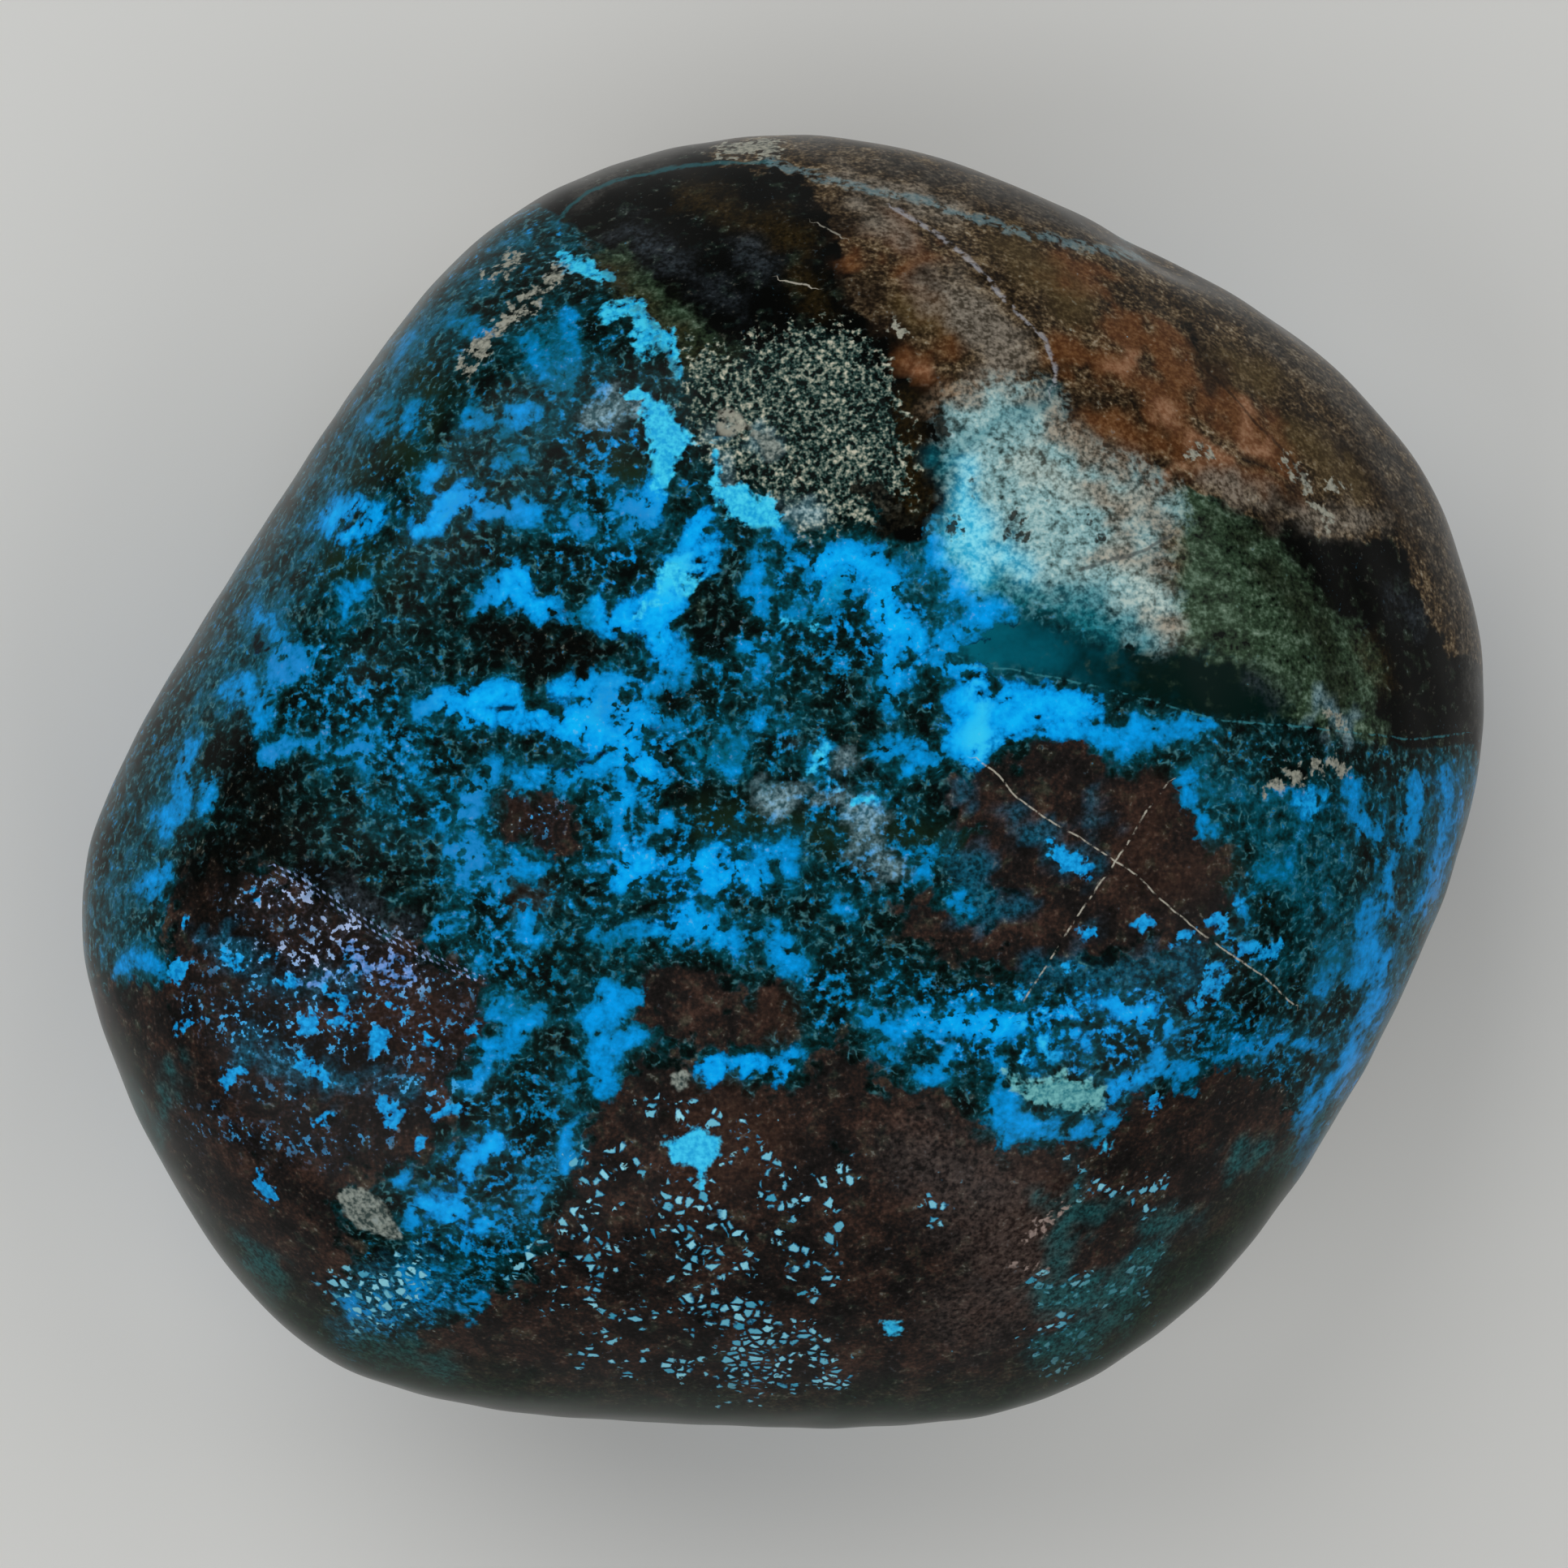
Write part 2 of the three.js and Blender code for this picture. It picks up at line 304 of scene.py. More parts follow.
marks = {
    "blue": {                # bright chrysocolla, from the back left round to the front
        "backSmall1": [(497, 432, 12), (515, 415, 7)],
        "backSmall2": [(475, 500, 10), (466, 522, 9)],
        "backSmall3": [(510, 500, 7), (503, 520, 11)],
        "backSmall4": [(585, 518, 14), (612, 524, 9), (650, 508, 12)],
        "backSmall5": [(533, 578, 8), (526, 600, 7)],
        "backSmall6": [(612, 572, 8), (645, 563, 8)],
        "backPatch": [(655, 425, 13), (672, 450, 11)],
        "backPatch2": [(600, 410, 8), (560, 395, 7)],
        "ringLeft": [(398, 648, 12), (415, 625, 13), (440, 615, 8), (468, 632, 12), (455, 650, 8),
                     (425, 662, 10)],
        "streakLeft": [(508, 655, 11), (540, 640, 17), (565, 620, 15), (590, 612, 8)],
        "streakLeft2": [(600, 640, 12), (640, 627, 13), (665, 632, 12)],
        "tealBack": [(700, 395, 9), (706, 430, 11), (700, 470, 8)],
        "cyanNeck": [(868, 640, 10), (850, 662, 14), (840, 690, 20), (865, 690, 14), (885, 665, 8)],
        "hazeBlue1": [(770, 618, 10), (800, 640, 12), (780, 655, 9)],
        "neck": [(806, 600, 13), (800, 622, 10)],
        "hazeBlue2": [(705, 632, 8), (722, 655, 12)],
        "middlePatch": [(1000, 702, 12), (1035, 685, 22), (1075, 690, 22), (1095, 720, 24),
                        (1090, 755, 18), (1125, 780, 16)],
        "middlePatch2": [(1040, 720, 20), (1010, 752, 12), (975, 758, 8)],
        "middleSmall1": [(935, 690, 9), (928, 728, 9), (946, 748, 12)],
        "middleSmall2": [(960, 660, 10), (985, 700, 9)],
        "paleSide": [(1150, 650, 12), (1160, 690, 18), (1185, 730, 22), (1230, 745, 16), (1200, 775, 14),
                     (1160, 790, 10)],
        "flame": [(830, 708, 16), (822, 735, 24), (800, 762, 22), (812, 790, 16), (818, 812, 7)],
        "flameArm": [(785, 758, 14), (748, 765, 16), (722, 758, 12), (735, 742, 6)],
        "flameTail": [(838, 812, 12), (842, 836, 8)],
        "comma": [(590, 745, 10), (606, 728, 12), (630, 712, 14), (640, 735, 12), (665, 755, 12),
                  (690, 758, 8)],
        "slope1": [(515, 876, 9), (545, 866, 14), (580, 862, 17), (610, 852, 14), (636, 858, 10)],
        "slope2": [(575, 890, 8), (600, 886, 10), (645, 885, 11), (672, 892, 14)],
        "slope3": [(700, 902, 14), (725, 880, 20), (750, 862, 16), (775, 872, 14)],
        "slope4": [(735, 905, 18), (768, 905, 16), (800, 885, 11), (842, 884, 8)],
        "slopeTop": [(690, 848, 8), (735, 838, 9), (770, 840, 8)],
        "slopeTop2": [(800, 852, 7), (814, 840, 7)],
        "slope5": [(690, 960, 9), (720, 950, 9), (760, 940, 11), (775, 918, 10)],
        "blob1": [(790, 942, 17), (803, 955, 15)],
        "column1": [(762, 965, 9), (770, 1000, 10), (764, 1035, 10), (772, 1055, 8)],
        "column2": [(798, 1045, 9), (785, 1070, 14), (768, 1090, 12), (735, 1072, 6)],
        "column3": [(800, 1008, 9), (818, 1015, 11)],
        "column4": [(824, 1072, 11), (845, 1062, 8), (868, 1055, 11), (872, 1085, 13), (895, 1085, 9),
                    (885, 1048, 8)],
        "column5": [(918, 1068, 10), (934, 1085, 9), (940, 1052, 6)],
        "column6": [(978, 1038, 7), (966, 1065, 11), (975, 1085, 6)],
        "centre1": [(1010, 925, 11), (1002, 948, 10)],
        "centre2": [(1060, 994, 11), (1072, 992, 8)],
        "centre3": [(925, 886, 7), (943, 882, 11)],
        "centre4": [(895, 905, 8), (912, 928, 9)],
        "centre5": [(850, 925, 7), (885, 942, 8), (918, 950, 6)],
        "centre6": [(1102, 812, 15), (1112, 835, 13), (1085, 848, 13), (1098, 868, 9)],
        "centre7": [(1088, 922, 9), (1132, 922, 7)],
        "centre8": [(1165, 925, 9), (1120, 950, 7)],
        "centre9": [(918, 800, 9), (940, 812, 9), (930, 835, 6)],
        "bright0": [(1150, 812, 9), (1180, 820, 12), (1212, 828, 9)],
        "bright1": [(1212, 835, 12), (1195, 862, 22), (1205, 890, 34), (1190, 915, 20), (1205, 938, 9)],
        "bright2": [(1240, 860, 16), (1250, 890, 26), (1290, 862, 18), (1320, 872, 20), (1345, 868, 10)],
        "bright3": [(1300, 895, 10), (1340, 900, 11), (1385, 925, 13), (1400, 900, 16), (1440, 905, 12),
                    (1480, 892, 9)],
        "row1": [(725, 1145, 9), (762, 1158, 10), (795, 1150, 8), (830, 1150, 9), (850, 1130, 12),
                 (868, 1150, 12), (890, 1135, 10)],
        "row2": [(893, 1168, 10), (915, 1150, 8), (938, 1148, 9)],
        "row3": [(958, 1148, 9), (962, 1172, 14), (980, 1190, 10)],
        "row4": [(1030, 1105, 8), (1045, 1125, 8)],
        "row5": [(1178, 1108, 9), (1192, 1118, 7)],
        "row6": [(1132, 1078, 8), (1145, 1045, 6)],
        "flank1": [(1467, 962, 7), (1462, 985, 6)],
        "flank2": [(1480, 1008, 12), (1492, 1025, 9)],
        "flank3": [(1590, 978, 10), (1618, 985, 14), (1610, 1005, 9)],
        "flank4": [(1668, 960, 10), (1666, 985, 9)],
        "flank5": [(1680, 1008, 13), (1692, 1030, 8)],
        "flank6": [(1748, 960, 7), (1742, 1005, 9), (1735, 1030, 6)],
        "flank7": [(1563, 1078, 10), (1580, 1066, 11)],
        "flank8": [(1716, 1060, 8), (1708, 1085, 11), (1715, 1120, 8)],
        "flank9": [(1524, 1108, 8), (1530, 1122, 7)],
        "flank10": [(1690, 1125, 9), (1678, 1160, 13), (1700, 1185, 15), (1672, 1200, 13)],
        "flank11": [(1640, 1178, 7), (1632, 1215, 6)],
        "flank12": [(1785, 950, 8), (1782, 1010, 9), (1772, 1070, 8), (1755, 1120, 8)],
        "band1": [(1365, 1235, 8), (1385, 1245, 14), (1412, 1262, 13), (1436, 1262, 9)],
        "band2": [(1065, 1248, 8), (1098, 1262, 13), (1145, 1262, 12), (1190, 1262, 16), (1238, 1262, 16),
                  (1260, 1255, 8)],
        "band3": [(1138, 1320, 13), (1158, 1318, 10), (1168, 1302, 7)],
        "band4": [(1085, 1298, 7), (1105, 1300, 7)],
        "band5": [(1232, 1305, 7), (1225, 1325, 9), (1245, 1345, 9), (1230, 1375, 12), (1246, 1398, 9)],
        "band6": [(1290, 1300, 9), (1285, 1275, 7)],
        "band7": [(1315, 1275, 8), (1340, 1287, 6)],
        "band8": [(1358, 1350, 8), (1385, 1340, 11), (1412, 1326, 9)],
        "band9": [(1428, 1308, 10), (1448, 1322, 12), (1468, 1310, 9), (1458, 1338, 6)],
        "band10": [(1510, 1298, 7), (1540, 1292, 8), (1570, 1282, 7), (1625, 1288, 7)],
        "band11": [(1232, 1360, 8), (1250, 1390, 12), (1290, 1396, 8), (1340, 1392, 8), (1372, 1376, 6)],
        "rimRight": [(1700, 1225, 10), (1668, 1285, 11), (1655, 1320, 11), (1622, 1355, 8),
                     (1608, 1372, 8), (1612, 1410, 12), (1600, 1435, 9)],
        "leftNotch": [(312, 760, 7), (330, 768, 9), (346, 778, 8), (350, 790, 6)],
        "leftSoft1": [(300, 850, 18), (322, 862, 15), (325, 890, 9)],
        "leftSoft2": [(340, 830, 10), (350, 800, 10), (372, 812, 12), (362, 832, 9)],
        "leftSoft3": [(428, 728, 7), (445, 722, 8), (424, 745, 4), (417, 770, 3)],
        "leftSoft4": [(330, 936, 12), (345, 918, 7), (372, 914, 6), (393, 922, 8), (400, 940, 5)],
        "leftSoft5": [(425, 924, 8), (448, 922, 12), (452, 940, 7), (458, 896, 5)],
        "lens": [(240, 908, 4), (228, 935, 9), (222, 968, 14), (214, 1000, 15), (203, 1016, 8)],
        "lensSide": [(256, 968, 6), (256, 990, 5)],
        "leftLow1": [(196, 1078, 10), (184, 1092, 11), (190, 1110, 7)],
        "leftLow2": [(150, 1195, 8), (170, 1180, 10), (195, 1195, 8)],
        "leftMid1": [(612, 940, 8), (598, 955, 9), (582, 978, 12), (588, 995, 8), (565, 1010, 7),
                     (545, 1020, 7)],
        "leftMid2": [(555, 1052, 10), (590, 1046, 10), (578, 1068, 14), (568, 1086, 9)],
        "leftMid3": [(606, 1090, 8), (622, 1088, 6)],
        "leftMid4": [(562, 1138, 9), (540, 1152, 8), (545, 1120, 5)],
        "leftMid5": [(510, 944, 6), (522, 966, 6)],
        "leftMid6": [(464, 994, 6), (470, 990, 5)],
        "leftMid7": [(640, 962, 10), (668, 958, 9)],
        "leftMid8": [(640, 1060, 9), (645, 1078, 9), (668, 1062, 5)],
        "leftMid9": [(655, 1125, 9), (650, 1145, 12), (668, 1160, 9)],
        "leftMid10": [(590, 1182, 9), (588, 1198, 7)],
        "fall1": [(608, 1238, 9), (632, 1250, 13), (655, 1258, 14), (630, 1280, 15), (605, 1292, 11)],
        "fall2": [(745, 1215, 16), (765, 1230, 18), (748, 1250, 18), (730, 1262, 12), (755, 1285, 16),
                  (785, 1275, 10)],
        "fall3": [(735, 1300, 14), (742, 1330, 15), (745, 1345, 7)],
        "fall4": [(702, 1340, 9), (700, 1322, 8)],
        "fall5": [(705, 1388, 10), (698, 1408, 12), (705, 1435, 9), (692, 1450, 7)],
        "fall6": [(562, 1334, 6), (582, 1330, 12), (600, 1316, 8)],
        "fall7": [(606, 1412, 13), (585, 1425, 13), (575, 1438, 10), (562, 1434, 7)],
        "fall8": [(570, 1452, 7), (576, 1460, 5)],
        "fall9": [(490, 1462, 5), (502, 1458, 6), (506, 1446, 5)],
        "fall10": [(540, 1480, 8), (552, 1492, 13), (568, 1488, 9)],
        "fall11": [(500, 1512, 9), (512, 1498, 11), (528, 1494, 8)],
        "fall12": [(588, 1508, 7), (612, 1512, 8), (605, 1500, 6)],
        "fall13": [(568, 1528, 6), (578, 1540, 8), (585, 1546, 5)],
        "fall14": [(658, 1455, 11), (660, 1475, 9), (650, 1490, 6)],
        "fall15": [(440, 1608, 11), (436, 1596, 9), (450, 1620, 6)],
        "fall16": [(585, 1605, 10), (575, 1612, 8)],
        "fall17": [(500, 1575, 7), (515, 1592, 6), (540, 1565, 6)],
        "wave1": [(862, 1326, 7), (880, 1320, 9), (896, 1311, 6)],
        "wave2": [(915, 1320, 10), (922, 1308, 9), (945, 1312, 8), (965, 1322, 9), (962, 1305, 6)],
        "wave3": [(985, 1302, 9), (990, 1312, 5)],
    },
    "calm": {                # quiet dark ground with few wisps
        "a": [(560, 768, 14), (620, 786, 24), (690, 800, 26), (740, 806, 16)],
        "g": [(826, 850, 16)],
        "b": [(875, 722, 18), (890, 772, 18)],
        "c": [(285, 925, 16), (310, 965, 34), (335, 1025, 34), (290, 1045, 18), (235, 1060, 10)],
        "d": [(365, 1062, 14), (430, 1095, 28), (490, 1130, 24), (530, 1152, 10)],
        "e": [(840, 980, 20), (830, 960, 14)],
        "f": [(1060, 905, 20), (1040, 915, 10)],
    },
    "dense": {               # close blue and teal mottling
        "b": [(1020, 1220, 40), (1150, 1250, 50), (1300, 1260, 40), (1450, 1270, 40), (1560, 1300, 40)],
        "c": [(650, 1350, 40), (660, 1450, 40), (600, 1530, 40), (540, 1590, 50), (450, 1640, 40)],
        "d": [(900, 820, 40), (1000, 740, 60), (1100, 800, 60), (1180, 760, 50)],
        "e": [(800, 930, 90), (760, 1040, 70), (900, 1050, 60), (850, 1140, 50)],
        "f": [(740, 660, 50), (740, 540, 30), (700, 430, 40)],
        "g": [(600, 1040, 50), (600, 1140, 50), (640, 1200, 40)],
        "h": [(400, 850, 60), (480, 920, 60), (540, 980, 50)],
        "i": [(980, 940, 44), (1050, 990, 50), (1090, 1070, 44)],
    },
    "wash": {                # even teal blue along the flanks
        "left": [(645, 292, 24), (560, 365, 22), (480, 470, 22), (420, 560, 24), (372, 650, 28),
                 (320, 740, 38), (285, 830, 46), (262, 880, 30)],
        "leftLow": [(190, 960, 30), (170, 1050, 26), (140, 1130, 34), (165, 1195, 22)],
        "right": [(1800, 930, 16), (1790, 1000, 22), (1765, 1090, 22), (1738, 1180, 22), (1700, 1260, 22),
                  (1650, 1350, 18), (1600, 1430, 14)],
        "back": [(680, 270, 20), (700, 300, 14)],
        "flank": [(1500, 960, 30), (1560, 1010, 40), (1620, 1060, 50), (1660, 1150, 50), (1600, 1160, 30)],
        "backSide": [(680, 400, 10), (690, 460, 12), (640, 430, 8)],
        "underPale": [(1130, 690, 26), (1170, 745, 32), (1225, 755, 26)],
    },
    "bright": {              # where the blue is at its strongest
        "a": [(1200, 880, 70), (1320, 875, 50)],
        "b": [(810, 750, 70), (640, 725, 40)],
        "c": [(820, 535, 50), (925, 622, 40)],
        "d": [(560, 870, 50), (740, 885, 55), (800, 950, 30)],
        "e": [(850, 1425, 50), (880, 1320, 30), (950, 1315, 40)],
        "f": [(560, 1490, 50), (600, 1420, 30)],
        "g": [(1200, 1262, 50), (1390, 1250, 40), (1400, 1330, 26)],
        "h": [(560, 630, 40), (430, 650, 30)],
        "i": [(1098, 1637, 20), (800, 1070, 40), (900, 1070, 40)],
        "j": [(1040, 720, 50), (1100, 780, 40)],
        "k": [(810, 600, 30), (860, 640, 50)],
    },
    "cyan": {
        "a": [(832, 712, 26)],
        "b": [(805, 505, 16), (822, 540, 24), (812, 570, 14)],
        "c": [(900, 610, 14), (925, 625, 20), (950, 636, 12)],
        "d": [(1195, 620, 16), (1205, 680, 24), (1190, 700, 14)],
        "e": [(1010, 925, 14), (1060, 994, 14)],
        "f": [(760, 378, 10), (825, 430, 12)],
        "g": [(1290, 1340, 20), (1200, 830, 10)],
    },
    "tealTone": {            # where the blue turns to teal
        "a": [(650, 390, 24), (690, 430, 30), (700, 480, 20)],
        "b": [(560, 400, 26), (500, 440, 30), (480, 510, 26)],
        "c": [(700, 720, 16), (720, 770, 14)],
        "d": [(530, 905, 18), (570, 915, 14)],
        "e": [(860, 920, 22), (900, 925, 18)],
        "f": [(990, 760, 18), (1050, 730, 10)],
        "g": [(600, 520, 20), (640, 560, 20)],
        "h": [(1500, 1000, 20), (1580, 1080, 24), (1640, 1180, 24)],
        "i": [(860, 1180, 24), (700, 1180, 22), (640, 1240, 18)],
    },
    "lavender": {
        "a": [(770, 615, 26), (800, 645, 24), (715, 640, 26)],
        "b": [(355, 815, 28), (335, 830, 16)],
        "c": [(335, 932, 22), (390, 922, 18), (440, 925, 24), (458, 900, 12)],
        "d": [(585, 975, 24), (560, 1012, 16)],
        "e": [(560, 1050, 24), (590, 1060, 20)],
        "f": [(750, 865, 24)],
        # g: a painted sheen at the lower left
        "g": [(330, 1110, 40), (400, 1150, 40), (435, 1180, 30), (490, 1190, 24)],
        "h": [(575, 625, 20), (620, 640, 20), (470, 995, 12)],
        "i": [(590, 980, 30), (560, 1060, 36), (600, 1130, 30), (530, 1150, 24)],
    },
    "rust": {                # orange brown in the cap
        "a": [(1046, 300, 10), (1052, 325, 10)],
        "b": [(1112, 438, 8), (1140, 452, 16), (1155, 468, 10)],
        "c": [(1385, 408, 20), (1430, 420, 22), (1450, 470, 24)],
        "d": [(1310, 430, 18), (1375, 450, 24)],
        "e": [(1425, 480, 22), (1455, 540, 26)],
        "f": [(1490, 480, 26), (1530, 520, 28), (1580, 560, 22)],
        "g": [(1350, 520, 18), (1415, 545, 18)],
        "h": [(1470, 570, 14), (1540, 590, 16), (1590, 610, 12)],
        "i": [(1170, 420, 14), (1100, 285, 18), (1150, 330, 12)],
        "j": [(1300, 330, 20), (1350, 350, 16)],
    },
    "pink": {                # pale orange, lighter than the rust
        "a": [(1475, 545, 8), (1500, 562, 10)],
        "b": [(1538, 502, 6), (1540, 528, 7)],
        "c": [(1432, 498, 7), (1440, 520, 6)],
        "d": [(1130, 448, 6), (1146, 456, 6)],
        "e": [(1375, 452, 7), (1400, 440, 6)],
        "f": [(1420, 590, 6), (1560, 548, 6)],
    },
    "ochre": {               # yellowish brown
        "a": [(1600, 540, 20), (1650, 575, 24), (1670, 600, 14)],
        "b": [(1240, 300, 20), (1330, 380, 22)],
        "c": [(1120, 380, 22), (1160, 400, 20)],
        "d": [(1560, 470, 20), (1500, 440, 16)],
    },
    "capGrey": {             # grey brown with white scratches inside the lobe
        "a": [(1150, 350, 24), (1200, 390, 30), (1240, 440, 30), (1220, 480, 20)],
        "b": [(1060, 255, 12), (1120, 300, 10)],
        "c": [(1020, 215, 8), (1100, 235, 10), (1180, 265, 12)],
        "d": [(1490, 590, 10), (1550, 615, 12), (1620, 640, 14), (1690, 640, 10)],
        "e": [(1335, 550, 10), (1400, 570, 10)],
    },
    "capShade": {            # darker brown
        "a": [(1655, 540, 8), (1700, 600, 12), (1740, 660, 10)],
        "b": [(1480, 420, 10), (1500, 470, 12)],
        "c": [(1052, 345, 14), (1090, 395, 12), (1120, 420, 10)],
        "d": [(1135, 340, 7), (1160, 352, 7)],
        "e": [(1310, 500, 14), (1345, 490, 12)],
        "f": [(1590, 600, 10), (1560, 640, 12)],
        "g": [(1020, 250, 8), (1050, 290, 8)],
        "h": [(1250, 240, 12), (1330, 275, 12)],
    },
    "rim": {                 # painted reflection: grey sheen along the back edge, at the right and the left
        "a": [(990, 176, 7), (1100, 200, 9), (1225, 236, 11), (1340, 284, 12), (1440, 330, 12),
              (1540, 390, 13), (1630, 465, 15), (1705, 555, 16), (1765, 645, 17), (1802, 740, 16),
              (1818, 830, 12), (1820, 890, 8)],
        "b": [(1775, 665, 7), (1788, 700, 8), (1795, 735, 6)],
        "c": [(715, 235, 12), (775, 200, 12), (840, 182, 9), (880, 178, 5)],
    },
    "haze": {                # milky grey quartz
        "a": [(1046, 986, 6), (1062, 1010, 11), (1076, 1045, 17), (1090, 1076, 9)],
        "b": [(1045, 932, 8), (1058, 955, 7)],
        "c": [(985, 935, 7), (998, 972, 8)],
        "i": [(962, 992, 9), (928, 985, 6)],
        "d": [(728, 506, 10), (762, 500, 14), (785, 512, 7)],
        "e": [(982, 628, 9), (1000, 638, 9)],
        "f": [(935, 538, 8), (952, 560, 10)],
        "g": [(895, 600, 6), (885, 540, 10), (905, 530, 8)],
        "h": [(1625, 870, 8), (1650, 890, 10), (1655, 905, 6)],
    },
    "slateSheen": {               # painted reflection: dim blue grey sheen on the black windows, the right bevel and the lower left
        "a": [(765, 285, 12), (800, 300, 18), (830, 320, 14)],
        "b": [(860, 348, 6), (885, 360, 9), (912, 374, 5)],
        "c": [(920, 300, 10), (940, 330, 10)],
        "d": [(1720, 730, 8), (1745, 765, 10)],
        "e": [(1555, 838, 12), (1580, 850, 12)],
        "f": [(430, 1105, 18), (490, 1140, 14)],
    },
    "olive": {               # olive glow in the black windows
        "a": [(850, 240, 16), (890, 255, 16), (905, 265, 10)],
        "b": [(925, 275, 14), (965, 285, 18), (990, 305, 12)],
        "c": [(985, 340, 12), (1010, 380, 10)],
        "d": [(1685, 800, 12), (1705, 840, 12)],
        "e": [(745, 330, 8), (790, 375, 8), (840, 430, 9), (880, 450, 8)],
        "f": [(1110, 500, 12), (1120, 560, 16), (1125, 620, 16)],
    },
    "crustCream": {          # cream grains over the pale crust
        "b": [(1300, 530, 10), (1340, 555, 10)],
        "c": [(1395, 700, 20), (1420, 740, 22), (1440, 780, 16)],
        "d": [(1350, 700, 16), (1400, 670, 14)],
        "e": [(1260, 570, 16), (1320, 600, 20), (1400, 620, 16)],
    },
    "crustTeal": {           # teal streak through the pale crust, and teal under it
        "a": [(1300, 478, 4), (1288, 500, 6), (1250, 511, 7), (1207, 537, 8), (1176, 556, 7)],
        "b": [(1215, 715, 12), (1260, 735, 16), (1320, 752, 18), (1380, 772, 12), (1420, 790, 8)],
        "c": [(1150, 560, 10), (1160, 590, 8)],
        "d": [(1300, 722, 12), (1350, 735, 14)],
    },
    "crustBrown": {          # tan and brown on the pale crust
        "a": [(1345, 595, 8), (1372, 625, 14), (1380, 655, 10)],
        "b": [(1430, 605, 10), (1400, 585, 8)],
        "c": [(1165, 480, 10), (1150, 500, 8)],
        "d": [(1290, 520, 8), (1320, 535, 8)],
        "f": [(1345, 690, 6), (1390, 680, 6), (1430, 660, 5)],
        "g": [(1400, 600, 14), (1432, 640, 16), (1440, 690, 12)],
        "h": [(1400, 740, 8), (1440, 770, 10)],
        "i": [(1180, 486, 10), (1230, 482, 12), (1285, 492, 12), (1310, 540, 12), (1350, 566, 12),
              (1400, 596, 14)],
        "j": [(1400, 660, 16), (1425, 700, 16)],
    },
    "crustCyan": {           # strongest turquoise of the crust
        "a": [(1192, 580, 12), (1190, 620, 20), (1196, 660, 28), (1200, 705, 18)],
        "b": [(1235, 680, 14), (1260, 700, 12)],
    },
    "crustDark": {           # dark bits and rings in the crusts, and black in their pits, which is painted shade
        "a": [(1161, 516, 4), (1162, 542, 4)],
        "b": [(1150, 530, 3), (1175, 530, 3)],
        "c": [(1209, 602, 5), (1204, 612, 4)],
        "d": [(1292, 612, 4)],
        "e": [(1235, 640, 2.5), (1249, 630, 3), (1263, 640, 2.5), (1266, 655, 3), (1254, 667, 3),
              (1239, 664, 3), (1234, 652, 2)],
        "swirl": [(1244, 650, 1.5), (1252, 646, 2), (1256, 654, 1.5)],
        "f": [(1172, 640, 2), (1174, 656, 3), (1188, 650, 2)],
        "g": [(900, 522, 6)],
        "h": [(970, 572, 3), (977, 588, 5)],
        "i": [(884, 510, 2), (888, 536, 3), (908, 540, 3), (918, 524, 2)],
        "j": [(1060, 600, 12), (1110, 640, 12), (1080, 660, 8)],
        "k": [(1340, 640, 4), (1362, 672, 4)],
    },
    "mossShade": {           # darker green towards the black
        "a": [(1560, 690, 14), (1600, 740, 18), (1640, 800, 20), (1650, 860, 18)],
        "b": [(1500, 640, 8), (1540, 665, 10)],
        "c": [(745, 322, 12), (800, 364, 14), (860, 432, 14)],
    },
    "red": {                 # red brown in the maroon
        "a": [(1425, 985, 14), (1405, 1040, 18), (1390, 1090, 12)],
        "b": [(1440, 1090, 16), (1480, 1070, 16)],
        "c": [(958, 1235, 8), (960, 1265, 10)],
        "d": [(650, 1105, 14)],
        "e": [(880, 1380, 40), (940, 1400, 34), (860, 1460, 30)],
        "f": [(470, 1250, 20), (540, 1260, 20)],
        "g": [(640, 1000, 12)],
        "h": [(1280, 1480, 40), (1250, 1540, 40)],
    },
    "veil": {                # dim teal and blue over the maroon
        "a": [(1235, 1005, 12), (1275, 1025, 15), (1330, 1062, 14)],
        "b": [(1170, 1050, 18), (1205, 1085, 26), (1200, 1120, 22), (1255, 1120, 12)],
        "c": [(1340, 1150, 8), (1300, 1200, 12), (1330, 1225, 8), (1355, 1240, 10)],
        "d": [(1340, 990, 8), (1375, 1010, 6)],
        "e": [(1180, 960, 8), (1190, 990, 6)],
        "f": [(1420, 1180, 14), (1480, 1200, 16), (1260, 1200, 12)],
        "g": [(520, 1580, 40), (470, 1600, 34), (430, 1640, 22)],
        "h": [(262, 1160, 14), (330, 1212, 12), (430, 1210, 12)],
        "i": [(300, 1292, 14), (420, 1334, 14), (500, 1334, 12)],
    },
    "tealSoft": {            # soft teal at the lower edge
        "a": [(1520, 1432, 13), (1555, 1418, 12)],
        "b": [(1415, 1510, 11), (1470, 1500, 7)],
        "c": [(300, 1535, 12), (325, 1560, 14), (345, 1600, 9), (320, 1590, 8)],
        "d": [(470, 1665, 18), (440, 1650, 14), (560, 1693, 9)],
        "e": [(160, 1345, 7), (172, 1385, 8), (190, 1415, 6), (215, 1315, 5)],
        "f": [(1300, 1665, 14), (1330, 1640, 16), (1390, 1620, 14), (1400, 1570, 12)],
        "g": [(1330, 1450, 6), (1300, 1560, 10)],
        "h": [(1620, 1400, 16), (1590, 1440, 12)],
        "i": [(1280, 1480, 5), (1340, 1500, 8), (1380, 1480, 7)],
        "j": [(1290, 1595, 20), (1330, 1600, 18), (1390, 1590, 22), (1420, 1540, 14)],
        "k": [(1290, 1665, 18), (1340, 1655, 20)],
    },
    "limbShade": {                # painted shade: dark green along the front edge
        "a": [(140, 1290, 10), (165, 1390, 18), (215, 1490, 24), (290, 1580, 28), (400, 1660, 32),
              (540, 1712, 30), (700, 1740, 26), (960, 1756, 24), (1250, 1738, 30), (1380, 1672, 36),
              (1480, 1600, 42), (1560, 1490, 36), (1610, 1420, 20)],
        "b": [(1400, 1630, 26), (1480, 1560, 26)],
    },
